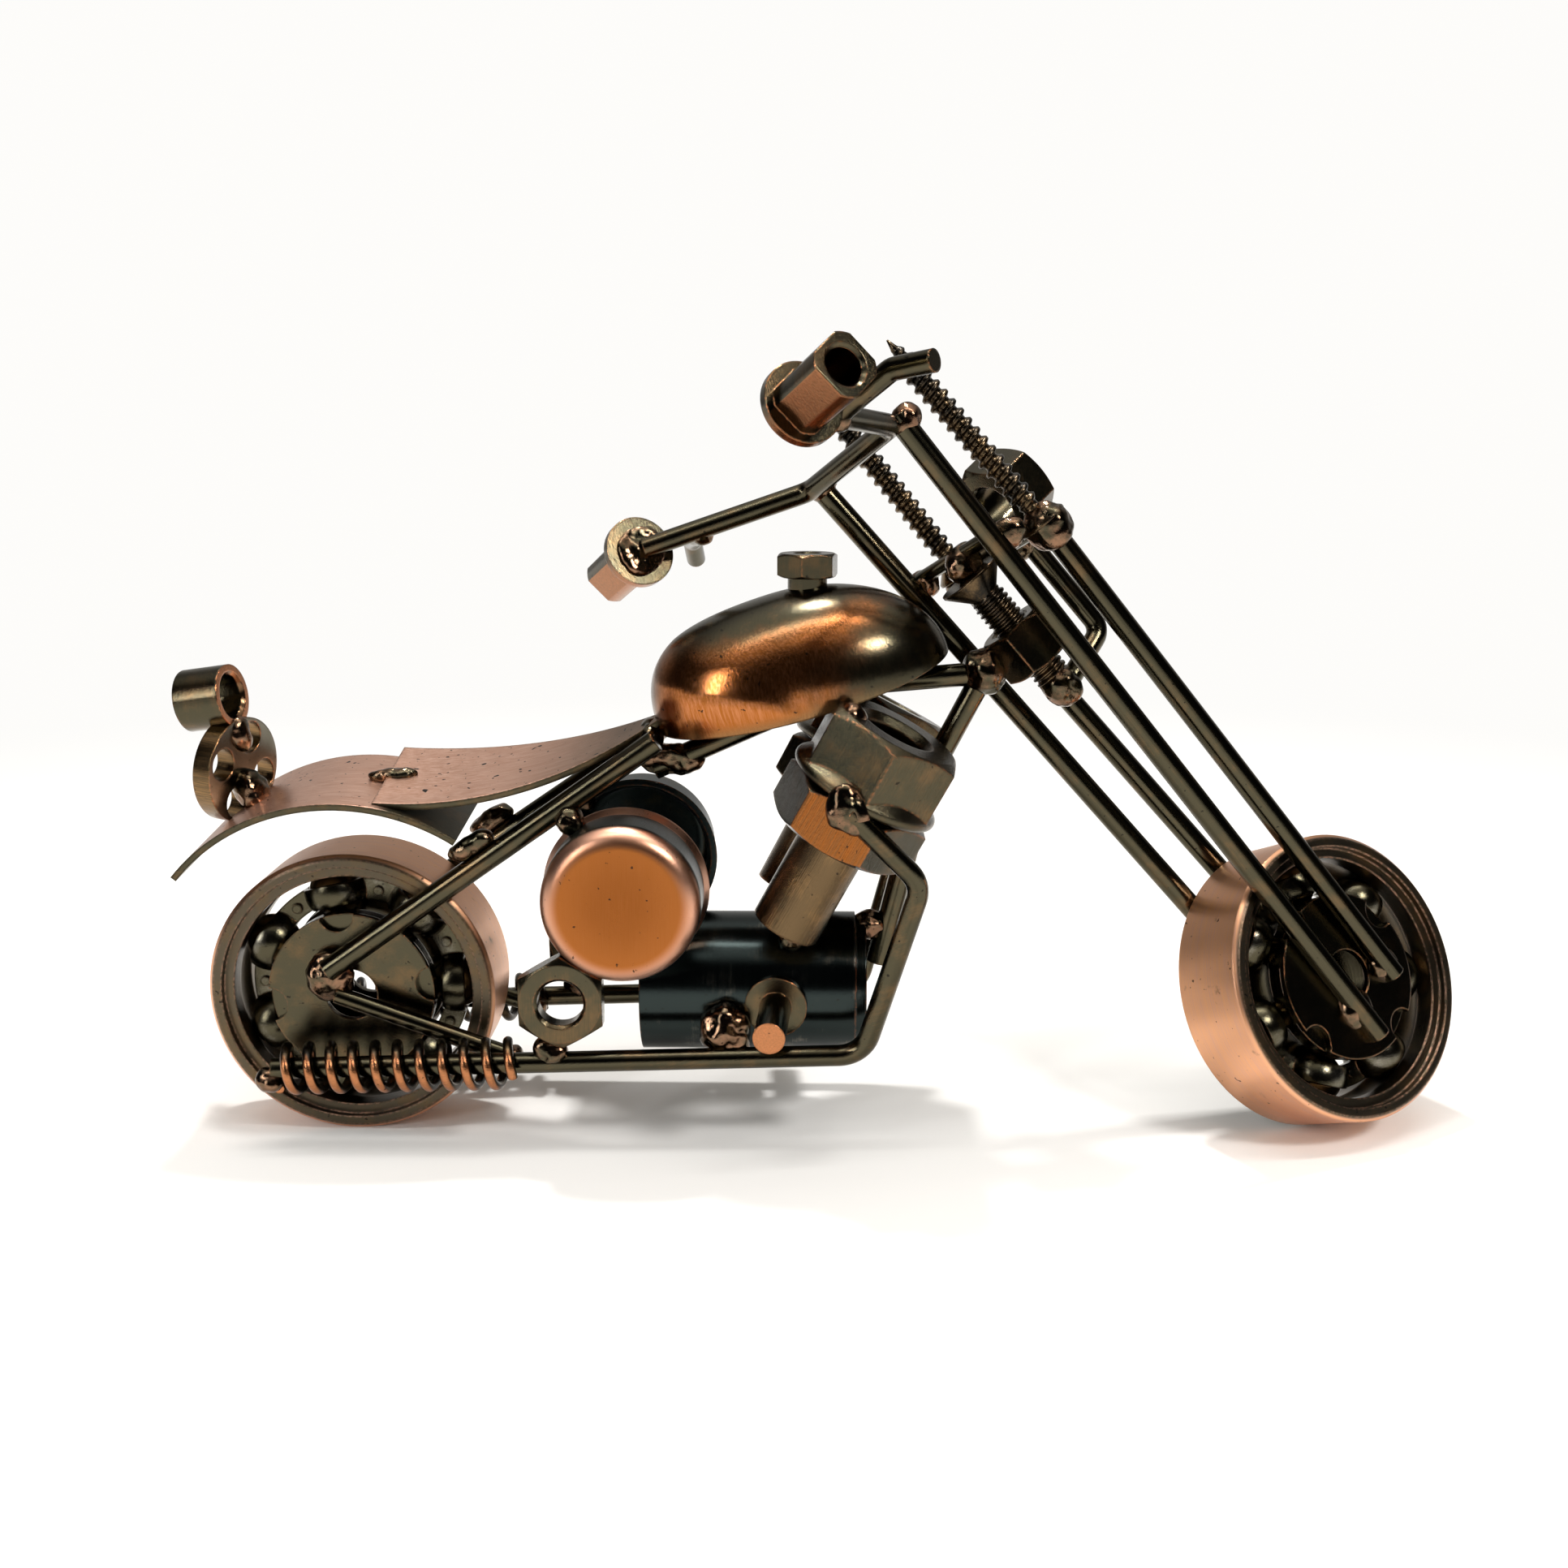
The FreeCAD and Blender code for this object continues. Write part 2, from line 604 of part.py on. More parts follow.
TANK_CENTRE = Vector(50.2, 0, 50.0)
TANK_TURN = Rotation(Vector(0, 1, 0), -size("tank_pitch")) * Rotation(Vector(1, 0, 0), size("tank_roll"))


def dome(name, wall):
    """The upper half of an egg: long, wide and high as the tank, less a wall."""
    return primitive("Ellipsoid", name, Radius1=f"{cell('tank_height')} - {wall}",
                     Radius2=f"{cell('tank_length')} / 2 - {wall}",
                     Radius3=f"{cell('tank_width')} / 2 - {wall}")


tank_solid = dome("tank_outside", "0 * Dimensions.tank_wall")
tank_solid.Angle1 = 0
tank_hollow = dome("tank_inside", "Dimensions.tank_wall")
sub_part(cut("tank_shell", tank_solid, tank_hollow), BIKE, Placement(TANK_CENTRE, TANK_TURN))



def fuel_cap():
    """A nut on a short neck, open from the top down to the tank."""
    neck_height = size("cap_neck_height")
    neck = primitive("Cylinder", "fuel_cap_neck", Radius=cell("cap_neck_radius"),
                     Height=cell("cap_neck_height"))
    nut_top = hexagon("fuel_cap_hexagon", "cap_flats", "cap_height")
    nut_top.Placement = Placement(UP * neck_height, Rotation())
    hole = size("cap_bore")
    relief = size("cap_relief")
    top = neck_height + size("cap_height")
    mouth = 0.35
    past = 1.0
    bore = turned("fuel_cap_bore", ((0, -past), (relief, -past), (relief, neck_height - mouth),
                                    (hole, neck_height), (hole, top - mouth),
                                    (hole + mouth + past, top + past), (0, top + past)))
    return cut("fuel_cap_nut", fuse("fuel_cap_solid", [neck, nut_top]), bore)


sub_part(fuel_cap(), BIKE, facing(Vector(50.7, 0, 60.7), UP, 20))


def strip(name, upper, lower, half_width):
    """A bent sheet: the space between two curves, drawn out sideways."""
    profile = doc.addObject("Part::Feature", name + "_profile")
    profile.Shape = outline(upper + lower)
    body = doc.addObject("Part::Extrusion", name)
    body.Base = profile
    body.DirMode = "Custom"
    body.Dir = Vector(0, 1, 0)
    body.LengthFwd = half_width
    body.LengthRev = half_width
    body.Solid = True
    return body


def seat_plate():
    """A leaf of sheet, hollow lengthwise, straight at the back and pointed at the tank."""
    thick = size("sheet")
    half = size("seat_width") / 2
    bent = strip("seat_plate_bent", ((0, 0), ((15.0, 1.1), (30.4, 7.0))),
                 ((30.6, 7.0 - thick), ((15.2, 1.1 - thick), (0, -thick))), half)
    leaf = doc.addObject("Part::Feature", "seat_plate_leaf_outline")
    tip = Vector(30.6, -0.9, 0)
    far_tip = Vector(30.6, 0.9, 0)
    near_edge = Part.Arc(Vector(0, -half, 0), Vector(16.5, -half * 0.78, 0), tip)
    far_edge = Part.Arc(far_tip, Vector(16.5, half * 0.78, 0), Vector(0, half, 0))
    wire = Part.Wire([near_edge.toShape(), Part.LineSegment(tip, far_tip).toShape(), far_edge.toShape(),
                      Part.LineSegment(Vector(0, half, 0), Vector(0, -half, 0)).toShape()])
    leaf.Shape = Part.Face(wire)
    prism = doc.addObject("Part::Extrusion", "seat_plate_leaf")
    prism.Base = leaf
    prism.DirMode = "Custom"
    prism.Dir = UP
    prism.LengthFwd = 10
    prism.LengthRev = 5
    prism.Solid = True
    return common("seat_plate", [bent, prism])


sub_part(seat_plate(), BIKE, Placement(Vector(4.1, 0, 40.1), Rotation(Vector(1, 0, 0), size("tank_roll"))))


def fender():
    """An arc of sheet over the rear wheel."""
    outside = size("fender_radius")
    inside = outside - size("sheet")

    def at(radius, angle):
        return (radius * math.cos(math.radians(angle)), radius * math.sin(math.radians(angle)))

    front = size("fender_front")
    rear = size("fender_rear")
    middle = (front + rear) / 2
    return strip("rear_fender", (at(outside, front), (at(outside, middle), at(outside, rear))),
                 (at(inside, rear), (at(inside, middle), at(inside, front))), size("fender_width") / 2)


fender_lean = Rotation(Vector(1, 0, 0), size("fender_roll"))
sub_part(fender(), BIKE, Placement(REAR_AXLE, fender_lean, Vector(0, 0, 23)))

TAIL_NORMAL = Vector(0.94, -0.33, -0.07)
TAIL_CENTRE = Vector(-13.1, 0.4, 40.6)


def tail_disc():
    thickness = size("tail_thickness")
    blank = primitive("Cylinder", "tail_disc_blank", Radius=cell("tail_radius"),
                      Height=cell("tail_thickness"))
    holes = []
    for quarter in range(4):
        angle = math.radians(90 * quarter + 52)
        place = Vector(math.cos(angle), math.sin(angle), 0) * size("tail_hole_circle") - UP * thickness
        hole = primitive("Cylinder", f"tail_disc_hole_{quarter + 1}", Placement(place, Rotation()),
                         Radius=cell("tail_hole"))
        hole.Height = 3 * thickness
        holes.append(hole)
    return cut("tail_disc", blank, fuse("tail_disc_holes", holes))


tail_corner = TAIL_CENTRE - TAIL_NORMAL.normalize() * (size("tail_thickness") / 2)
sub_part(tail_disc(), BIKE, facing(tail_corner, TAIL_NORMAL))

sleeve_axis = Vector(0.97, -0.16, 0.15).normalize()
sleeve_start = Vector(-15.2, 0, 48.6) - sleeve_axis * (size("sleeve_length") / 2)
sleeve_tube = primitive("Cylinder", "tail_sleeve_outside", Radius=cell("sleeve_radius"),
                        Height=cell("sleeve_length"))
sleeve = cut("tail_sleeve", sleeve_tube, drill("tail_sleeve_drill", "sleeve_bore", "sleeve_length"))
sub_part(sleeve, BIKE, facing(sleeve_start, sleeve_axis))

# ---------------------------------------------------------------- headstock and steering bolt

nut("headstock_nut", "headstock_flats", "headstock_height", "headstock_bore", BIKE,
    facing(HEAD + STEERING_AXIS * -1.4, STEERING_AXIS, 12))


def steering_bolt():
    """An M4 countersunk bolt hanging from the lower clamp, its thread drawn as rings."""
    root = size("bolt_root")
    crest = size("bolt_radius")
    low = -5.2
    cone = 8.3
    rim = 10.6
    steps = [(0, low), (root, low)]
    steps += ridges(root, crest, size("bolt_pitch"), low, cone)
    steps += [(root, cone), (size("bolt_head"), rim), (size("bolt_head"), rim + 0.3), (0, rim + 0.3)]
    return turned("steering_bolt", steps)


sub_part(steering_bolt(), FORK, facing(HEAD, STEERING_AXIS))

# ---------------------------------------------------------------- fork


def screw(name, foot, direction):
    """A countersunk self-tapping screw, point up, its thread drawn as rings."""
    root = size("screw_root")
    crest = size("screw_radius")
    length = size("screw_length")
    tip = 3.2
    head = 2.1
    steps = [(0, 0), (2.7, 0), (2.7, 0.3), (root, head)]
    steps += ridges(root, crest, size("screw_pitch"), head, length - tip)
    steps += [(root, length - tip), (0.12, length), (0, length)]
    return sub_part(turned(name, steps), FORK, facing(foot, direction))


for word, side in SIDES:
    straight_rod("fork_rod_rear_" + word, fork_rod_point(REAR_ROD, 9.9, side),
                 fork_rod_point(REAR_ROD, 75.6, side), FORK)
    front_top = fork_rod_point(FRONT_ROD, 65.6, side)
    front_low = fork_rod_point(FRONT_ROD, 16.4, side)
    straight_rod("fork_rod_front_" + word, front_low, front_top, FORK)
    screw_foot = front_top - Vector(0, side * 0.3, 0)
    screw("fork_screw_" + word, screw_foot, front_top - front_low - Vector(0, side * 5.0, 0))

CLAMP_REAR = Vector(67.3, 0, 64.6)
CLAMP_FRONT = Vector(72.5, 0, 65.8)
straight_rod("clamp_bar_rear", CLAMP_REAR - Vector(0, 8.4, 0), CLAMP_REAR + Vector(0, 8.4, 0), FORK,
             "clamp_rod")
straight_rod("clamp_bar_front", CLAMP_FRONT - Vector(0, 8.6, 0), CLAMP_FRONT + Vector(0, 8.6, 0), FORK)

bracket_start = CLAMP_FRONT + Vector(0.1, -1.2, 0.1)
bent_rod("steering_bracket",
         (bracket_start, Vector(75.9, -1.2, 66.0), Vector(84.0, -1.1, 56.7), Vector(78.7, 0, 49.7)), FORK,
         bend=1.8, radius="thin_rod")

lamp_centre = Vector(74.2, 0, 71.9)
nut("headlight_nut", "lamp_flats", "lamp_height", "lamp_bore", FORK,
    facing(lamp_centre - HEAD_FORWARD * size("lamp_height") / 2, HEAD_FORWARD))

# ---------------------------------------------------------------- handlebar, grips, levers

BAR = Vector(54.7, 0, 74.3)
BAR_END = Vector(38.65, 19.4, 70.05)
GRIP = Vector(38.45, 20.0, 70.0)


def mirrored(point, side):
    return Vector(point.x, side * point.y, point.z)


bar_bend = Vector(0, 9.3, 0)
bent_rod("handlebar", (BAR_END, BAR + bar_bend, BAR - bar_bend, mirrored(BAR_END, -1)), FORK, bend=2.2,
         radius="thin_rod")


def grip(name, side):
    """A flanged sleeve: round flange, rounded square barrel, through hole."""
    flange = primitive("Cylinder", name + "_flange", Radius=cell("grip_flange"),
                       Height=cell("grip_flange_thickness"))
    width = size("grip_barrel")
    barrel = doc.addObject("Part::Box", name + "_square")
    barrel.Placement = Placement(Vector(-width, -width, 0), Rotation())
    for prop in ("Length", "Width"):
        barrel.setExpression(prop, f"2 * {cell('grip_barrel')}")
    barrel.setExpression("Height", cell("grip_length"))
    skin = primitive("Cylinder", name + "_round", Radius=f"{cell('grip_barrel')} * 1.16",
                     Height=cell("grip_length"))
    solid = fuse(name + "_solid", [flange, common(name + "_barrel", [barrel, skin])])
    body = cut(name, solid, drill(name + "_drill", "grip_bore", "grip_length"))
    return sub_part(body, FORK, facing(mirrored(GRIP, side), Vector(0, side, 0), 45))


for word, side in SIDES:
    grip("grip_" + word, side)
    lever = (Vector(44.6, 16.0, 71.4), Vector(45.2, 19.5, 72.0), Vector(46.5, 23.5, 73.0),
             Vector(48.6, 27.5, 72.3))
    bent_rod("lever_" + word, [mirrored(point, side) for point in lever], FORK, bend=2.0,
             radius="lever_radius")

# ---------------------------------------------------------------- welds

frame_beads = [
    bead("weld_headstock", Vector(70.1, 0, 51.9), (2.7, 2.5, 2.5), Vector(-0.5, 0, 1)),
    bead("weld_seat_rear", Vector(4.6, 0, 40.0), (2.8, 0.9, 1.0), Vector(1, 0, 0.05)),
    bead("weld_tank_rear", Vector(33.6, -0.8, 44.9), (1.7, 1.5, 3.0)),
    bead("weld_case_front", Vector(57.9, 0, 23.0), (1.7, 2.0, 2.0)),
    bead("weld_tail_sleeve", Vector(-12.2, -0.4, 44.7), (2.1, 1.5, 1.5), Vector(-0.3, 0, 1)),
    bead("weld_tail_foot", Vector(-11.4, 0, 38.2), (2.6, 2.0, 2.2), Vector(0.6, 0, -1)),
    bead("weld_backbone_end", Vector(35.6, 0, 41.9), (1.9, 3.9, 1.6)),
]
for word, side in SIDES:
    frame_beads += [
        bead("weld_hub_" + word, Vector(-1.9, side * 6.1, 18.6), (2.9, 2.8, 2.0), Vector(-0.6, 0, 1)),
        bead("weld_fender_" + word, Vector(14.2, side * 6.3, 33.5), (2.9, 1.3, 1.5), Vector(1, 0, 0.6)),
        bead("weld_drum_" + word, Vector(25.2, side * 6.4, 36.3), (1.7, 1.5, 1.6)),
        bead("weld_side_nut_top_" + word, Vector(26.2, side * 10.2, 21.2), (1.6, 1.3, 1.5)),
        bead("weld_side_nut_foot_" + word, Vector(23.2, side * 11.0, 11.8), (1.9, 1.7, 1.5), Vector(1, 0, 0)),
        bead("weld_case_exhaust_" + word, Vector(42.0, side * 9.2, 13.6), (3.2, 2.9, 2.3), Vector(-0.3, 0, 1)),
        bead("weld_cylinder_foot_" + word, Vector(49.4, side * 5.0, 23.6), (1.9, 2.6, 1.7), Vector(1, 0, 0)),
        bead("weld_exhaust_head_" + word, Vector(54.9, side * 16.7, 40.0), (2.9, 2.2, 1.4),
             Vector(0.5, 0, -1)),
        bead("weld_tank_" + word, Vector(55.2, side * 11.2, 47.1), (3.5, 1.9, 2.1),
             Vector(0, side * 0.2, 1)),
        bead("weld_peg_" + word, Vector(47.5, side * 7.4, 14.6), (1.6, 1.4, 1.0)),
        bead("muffler_end_" + word, Vector(-7.8, side * 10.9, 8.2), (1.5, 1.55, 1.5)),
        bead("weld_chain_stay_" + word, Vector(18.4, side * 8.4, 10.0), (1.2, 1.3, 1.6)),
    ]
sub_part(group("frame_welds", frame_beads), BIKE)

fork_beads = [
    bead("weld_bolt_end", Vector(78.4, 0, 50.4), (2.5, 2.2, 2.2), STEERING_AXIS),
    bead("weld_lamp", Vector(75.0, -0.8, 66.3), (1.9, 2.1, 2.0), HEAD_FORWARD),
    bead("weld_bolt_head", Vector(67.6, 0, 63.6), (2.0, 2.6, 1.7), STEERING_AXIS),
]
for word, side in SIDES:
    rear_top = fork_rod_point(REAR_ROD, 75.3, side)
    rear_foot = fork_rod_point(REAR_ROD, 13.0, side)
    front_foot = fork_rod_point(FRONT_ROD, 17.6, side)
    fork_beads += [
        bead("weld_bar_" + word, rear_top + Vector(0.9, 0, -0.3), (1.9, 1.7, 1.7), HEAD_FORWARD),
        bead("weld_clamp_" + word, Vector(67.9, side * 8.5, 64.2), (1.8, 1.7, 2.0)),
        bead("weld_screw_" + word, fork_rod_point(FRONT_ROD, 65.2, side),
             (2.0 - side * 0.8, 2.5, 2.3 - side * 0.2), STEERING_AXIS),
        bead("weld_rear_foot_" + word, rear_foot - Vector(0, side * 0.6, 0), (2.6, 2.2, 1.4), STEERING_AXIS),
        bead("weld_front_foot_" + word, front_foot - Vector(0, side * 0.6, 0), (2.2, 2.0, 1.4),
             STEERING_AXIS),
        bead("weld_lever_" + word, Vector(44.5, side * 16.3, 71.4), (1.6, 1.6, 1.4)),
        bead("weld_grip_" + word, Vector(38.5, side * 19.7, 70.0), (0.62, 2.9, 2.9), Vector(0, 1, 0)),
    ]
sub_part(group("fork_welds", fork_beads), FORK)

# ---------------------------------------------------------------- check and write

doc.recompute()

broken = [item.Name for item in doc.Objects if "Invalid" in item.State or "Error" in item.State]
for piece in sub_parts:
    if piece.Shape.isNull() or not piece.Shape.isValid() or not piece.Shape.Solids:
        broken.append(piece.Name)
if broken:
    raise RuntimeError("These objects did not build: " + ", ".join(broken))

for piece in sub_parts:
    piece.Shape.exportStep(f"parts/{piece.Label}.step")

whole = Part.makeCompound([piece.Shape for piece in sub_parts]).BoundBox
print(f"{len(sub_parts)} sub-parts, {whole.XLength:.2f} x {whole.YLength:.2f} x {whole.ZLength:.2f} mm")
print(f"low corner {whole.XMin:.3f} {whole.YMin:.3f} {whole.ZMin:.3f}")
print(f"high corner {whole.XMax:.3f} {whole.YMax:.3f} {whole.ZMax:.3f}")
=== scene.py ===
import json
import math

import bpy
import numpy as np
from mathutils import Matrix, Vector, noise


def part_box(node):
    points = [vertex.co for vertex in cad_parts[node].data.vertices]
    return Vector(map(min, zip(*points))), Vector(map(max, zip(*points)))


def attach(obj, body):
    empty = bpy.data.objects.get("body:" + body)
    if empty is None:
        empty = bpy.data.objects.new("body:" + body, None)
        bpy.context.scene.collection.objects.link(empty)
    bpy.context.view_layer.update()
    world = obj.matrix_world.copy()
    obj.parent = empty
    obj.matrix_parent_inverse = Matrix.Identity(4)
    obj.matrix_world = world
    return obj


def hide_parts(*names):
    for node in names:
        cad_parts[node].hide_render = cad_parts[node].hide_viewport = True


# A model chopper welded from ball bearings, nuts, screws and rod, plated in copper and gun-metal.
# Places are in metres: +X forward, -Y the near side, +Z up.  Patterns, wear and threads are sized
# in millimetres.

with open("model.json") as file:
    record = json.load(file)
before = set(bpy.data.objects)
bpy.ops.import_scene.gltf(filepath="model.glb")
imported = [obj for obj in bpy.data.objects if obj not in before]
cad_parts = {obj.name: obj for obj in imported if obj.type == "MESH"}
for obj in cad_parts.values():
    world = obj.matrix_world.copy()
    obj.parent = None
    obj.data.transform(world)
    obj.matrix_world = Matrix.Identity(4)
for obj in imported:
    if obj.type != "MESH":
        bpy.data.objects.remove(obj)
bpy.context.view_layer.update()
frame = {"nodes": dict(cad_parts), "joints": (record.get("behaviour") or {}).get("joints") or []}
nodes = frame["nodes"]
joints = {joint["name"]: joint for joint in frame["joints"]}

MM = 0.001
OUTWARD = {"right": -1, "left": 1}  # each side's direction along Y
STEERING_AXIS = Vector(joints["steering"]["axis"])
FRONT_AXLE = Vector(joints["front_wheel_spin"]["axis"])
FRONT_HUB = Vector(joints["front_wheel_spin"]["pos_m"])
REAR_AXLE = Vector(joints["rear_wheel_spin"]["axis"])
REAR_HUB = Vector(joints["rear_wheel_spin"]["pos_m"])
TAIL_DISC_AXIS = Vector((0.94, -0.33, -0.07))
TAIL_SLEEVE_AXIS = Vector((0.97, -0.16, 0.15))

# Plating colours, linear RGB.
COPPER = (0.47, 0.180, 0.075, 1)
GOLDEN_COPPER = (0.74, 0.37, 0.18, 1)
PINK_COPPER = (0.64, 0.345, 0.235, 1)
PALE_COPPER = (0.78, 0.50, 0.385, 1)
ORANGE_COPPER = (0.31, 0.098, 0.019, 1)
AMBER = (0.235, 0.070, 0.011, 1)
GOLD_BRONZE = (0.26, 0.15, 0.065, 1)
OLIVE = (0.066, 0.058, 0.036, 1)
BRONZE = (0.125, 0.082, 0.042, 1)
RING_BROWN = (0.086, 0.069, 0.047, 1)
COPPERY_BRONZE = (0.24, 0.130, 0.078, 1)
DARK = (0.018, 0.016, 0.013, 1)
BLUE_BLACK = (0.026, 0.034, 0.033, 1)
STEEL = (0.20, 0.185, 0.15, 1)

# Colours of the paper and the room.
BACKDROP = (0.985, 0.975, 0.955, 1)
PAPER_GREY = (0.90, 0.89, 0.87, 1)
PAPER_WHITE = (0.94, 0.93, 0.92, 1)
ROOM_DARK = (0.014, 0.014, 0.017, 1)
ROOM_BEHIND = (0.42, 0.41, 0.39, 1)
ROOM_CEILING = (1.25, 1.22, 1.16, 1)
ROOM_EVEN = (0.45, 0.43, 0.395, 1)


# ------------------------------------------------------------------ shader building

# Sockets of a colour mix: its factor and two colours, and its result.
MIX_INPUTS = (0, 6, 7)
MIX_RESULT = 2


class Graph:
    """A node tree under construction; node returns a node and most other methods a socket."""

    def __init__(self, tree):
        self.tree = tree
        tree.nodes.clear()
        self.coords = self.node("ShaderNodeTexCoord")

    def node(self, kind, inputs=None, **props):
        made = self.tree.nodes.new(kind)
        for prop, value in props.items():
            setattr(made, prop, value)
        for socket, value in (inputs or {}).items():
            if isinstance(value, bpy.types.NodeSocket):
                self.tree.links.new(value, made.inputs[socket])
            else:
                made.inputs[socket].default_value = value
        return made

    def split(self, vector):
        """The sockets X, Y and Z of a vector."""
        return self.node("ShaderNodeSeparateXYZ", {0: vector}).outputs

    def math(self, operation, first, second):
        return self.node("ShaderNodeMath", {0: first, 1: second}, operation=operation).outputs[0]

    def weighted(self, first, first_share, second, second_share):
        """The sum of two values, each times its share."""
        return self.math("ADD", self.math("MULTIPLY", first, first_share),
                         self.math("MULTIPLY", second, second_share))

    def vector(self, operation, first, second=(0, 0, 0)):
        made = self.node("ShaderNodeVectorMath", {0: first, 1: second}, operation=operation)
        return made.outputs["Value" if operation in ("DOT_PRODUCT", "LENGTH") else "Vector"]

    def step(self, value, low, high):
        """0 below low, 1 above high, smooth between; low may be the greater."""
        made = self.node("ShaderNodeMapRange", {"Value": value, "From Min": low, "From Max": high},
                         interpolation_type="SMOOTHSTEP")
        return made.outputs["Result"]

    def remap(self, value, low, high):
        """Takes 0..1 to low..high."""
        made = self.node("ShaderNodeMapRange", {"Value": value, "To Min": low, "To Max": high})
        return made.outputs["Result"]

    def mix(self, factor, first, second):
        """first where factor is 0, second where it is 1."""
        sockets = dict(zip(MIX_INPUTS, (factor, first, second)))
        return self.node("ShaderNodeMix", sockets, data_type="RGBA").outputs[MIX_RESULT]


class Shader(Graph):
    """A material under construction."""

    def __init__(self, name):
        self.material = bpy.data.materials.new(name)
        self.material.use_nodes = True
        super().__init__(self.material.node_tree)

    def place(self):
        """The point in metres, where it is while the model is at rest."""
        return self.coords.outputs["Object"]

    def local(self, centre, axis):
        """Coordinates in millimetres about a centre, with Z along an axis."""
        turn = Vector(axis).to_track_quat("Z", "Y").inverted()
        moved = self.vector("SUBTRACT", self.place(), tuple(centre))
        rotated = self.node("ShaderNodeMapping", {"Vector": moved, "Rotation": turn.to_euler()})
        scaled = self.node("ShaderNodeVectorMath", {0: rotated.outputs[0], "Scale": 1 / MM},
                           operation="SCALE")
        return scaled.outputs[0]

    def facing(self, direction, low, high):
        """1 where the surface faces a direction of its own body, 0 where it turns away."""
        toward = tuple(Vector(direction).normalized())
        alike = self.vector("DOT_PRODUCT", self.coords.outputs["Normal"], toward)
        return self.step(alike, low, high)

    def radius(self, local):
        """The distance from the local Z axis."""
        return self.vector("LENGTH", self.vector("MULTIPLY", local, (1, 1, 0)))

    def noise(self, vector, scale, detail=3.0, rough=0.55):
        """scale is per unit of the vector, one number or one for each of its axes."""
        scales = scale if isinstance(scale, tuple) else (scale, scale, scale)
        stretched = self.vector("MULTIPLY", vector, scales)
        made = self.node("ShaderNodeTexNoise", {"Vector": stretched, "Scale": 1.0,
                                                "Detail": detail, "Roughness": rough})
        return made.outputs["Fac"]

    def rings(self, local, fine):
        """Turned brushing: lines that run round the axis, with a slow wander."""
        depth = self.split(local)["Z"]
        wander = self.noise(local, 0.25, 2.0)
        around = self.node("ShaderNodeCombineXYZ", {0: self.radius(local), 1: depth, 2: wander})
        return self.noise(around.outputs[0], (fine, fine, 3.0), 4.0, 0.7)

    def edges(self, width):
        """1 on sharp outer edges, fading over a width in millimetres, and the softened normal."""
        soft = self.node("ShaderNodeBevel", {"Radius": width * MM}, samples=4)
        plain = self.node("ShaderNodeNewGeometry")
        alike = self.vector("DOT_PRODUCT", soft.outputs[0], plain.outputs["Normal"])
        return self.step(alike, 0.995, 0.80), soft.outputs[0]

    def surface(self, colour, roughness, height, normal, depth, metallic=1.0):
        """The lit surface's node; depth is the bump's height in millimetres."""
        bump = self.node("ShaderNodeBump", {"Height": height, "Normal": normal,
                                            "Distance": depth * MM, "Strength": 1.0})
        return self.node("ShaderNodeBsdfPrincipled", {"Base Color": colour, "Metallic": metallic,
                                                      "Roughness": roughness,
                                                      "Normal": bump.outputs[0]})

    def output(self, surface):
        """Ends the material with a surface and returns it."""
        out = self.node("ShaderNodeOutputMaterial", {"Surface": surface})
        out.is_active_output = True
        return self.material


# ------------------------------------------------------------------ measuring and adding


def vertex_array(items, attribute):
    """One row of three numbers for each item."""
    values = np.zeros(len(items) * 3)
    items.foreach_get(attribute, values)
    return values.reshape(-1, 3)


def centre_of(name):
    low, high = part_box(name)
    return (low + high) / 2


def principal_axis(name):
    """The direction that a node reaches furthest in, from the spread of its vertices."""
    points = vertex_array(nodes[name].data.vertices, "co")
    points = points - points.mean(0)
    values, vectors = np.linalg.eigh(points.T @ points)
    axis = Vector(vectors[:, 2])
    return axis if axis.z > 0 else -axis


def add(name, data):
    """A new object in the scene."""
    piece = bpy.data.objects.new(name, data)
    bpy.context.scene.collection.objects.link(piece)
    return piece


# ------------------------------------------------------------------ plating

# Patterns in every plating, in features per millimetre.
BLOTCH_SCALE = 0.33
FINE_SCALE = 2.6
SPECK_SCALE = 1.7


def plated(name, centre, axis, base=OLIVE, rubbed=BRONZE, edge=COPPER, wear=0.35, edge_wear=0.5,
           edge_width=0.3, rough=(0.08, 0.28), brush=(7.0, 7.0, 0.25), brush_depth=0.012,
           turned=False, zone=None):
    """Worn plating.  base shows where it is thick, rubbed where it is thin and edge where it is
    through.  brush is the brushing's scale about the axis, and only its first number counts where
    the brushing is turned.  zone adds what one node has of its own."""
    shader = Shader(name)
    local = shader.local(centre, axis)
    blotch = shader.noise(local, BLOTCH_SCALE, 4.0)
    fine = shader.noise(local, FINE_SCALE, 3.0)
    streak = shader.rings(local, brush[0]) if turned else shader.noise(local, brush, 4.0, 0.7)
    worn_edge, normal = shader.edges(edge_width)

    thinning = shader.weighted(blotch, 0.75, streak, 0.35)
    patchy = shader.step(thinning, 0.72 - wear * 0.6, 0.92 - wear * 0.4)
    colour = shader.mix(patchy, base, rubbed)
    if zone:
        colour = zone(shader, local, streak, blotch, colour)

    ragged = shader.math("MULTIPLY", worn_edge, shader.step(fine, 0.38, 0.62))
    colour = shader.mix(shader.math("MULTIPLY", ragged, edge_wear), colour, edge)
    specks = shader.step(shader.noise(local, SPECK_SCALE, 2.0, 0.4), 0.285, 0.25)
    colour = shader.mix(shader.math("MULTIPLY", specks, 0.85), colour, DARK)

    roughness = shader.remap(shader.weighted(streak, 0.6, blotch, 0.4), rough[0], rough[1])
    height = shader.math("ADD", streak, shader.math("MULTIPLY", fine, 0.35))
    surface = shader.surface(colour, roughness, height, normal, brush_depth)
    return shader.output(surface.outputs[0])


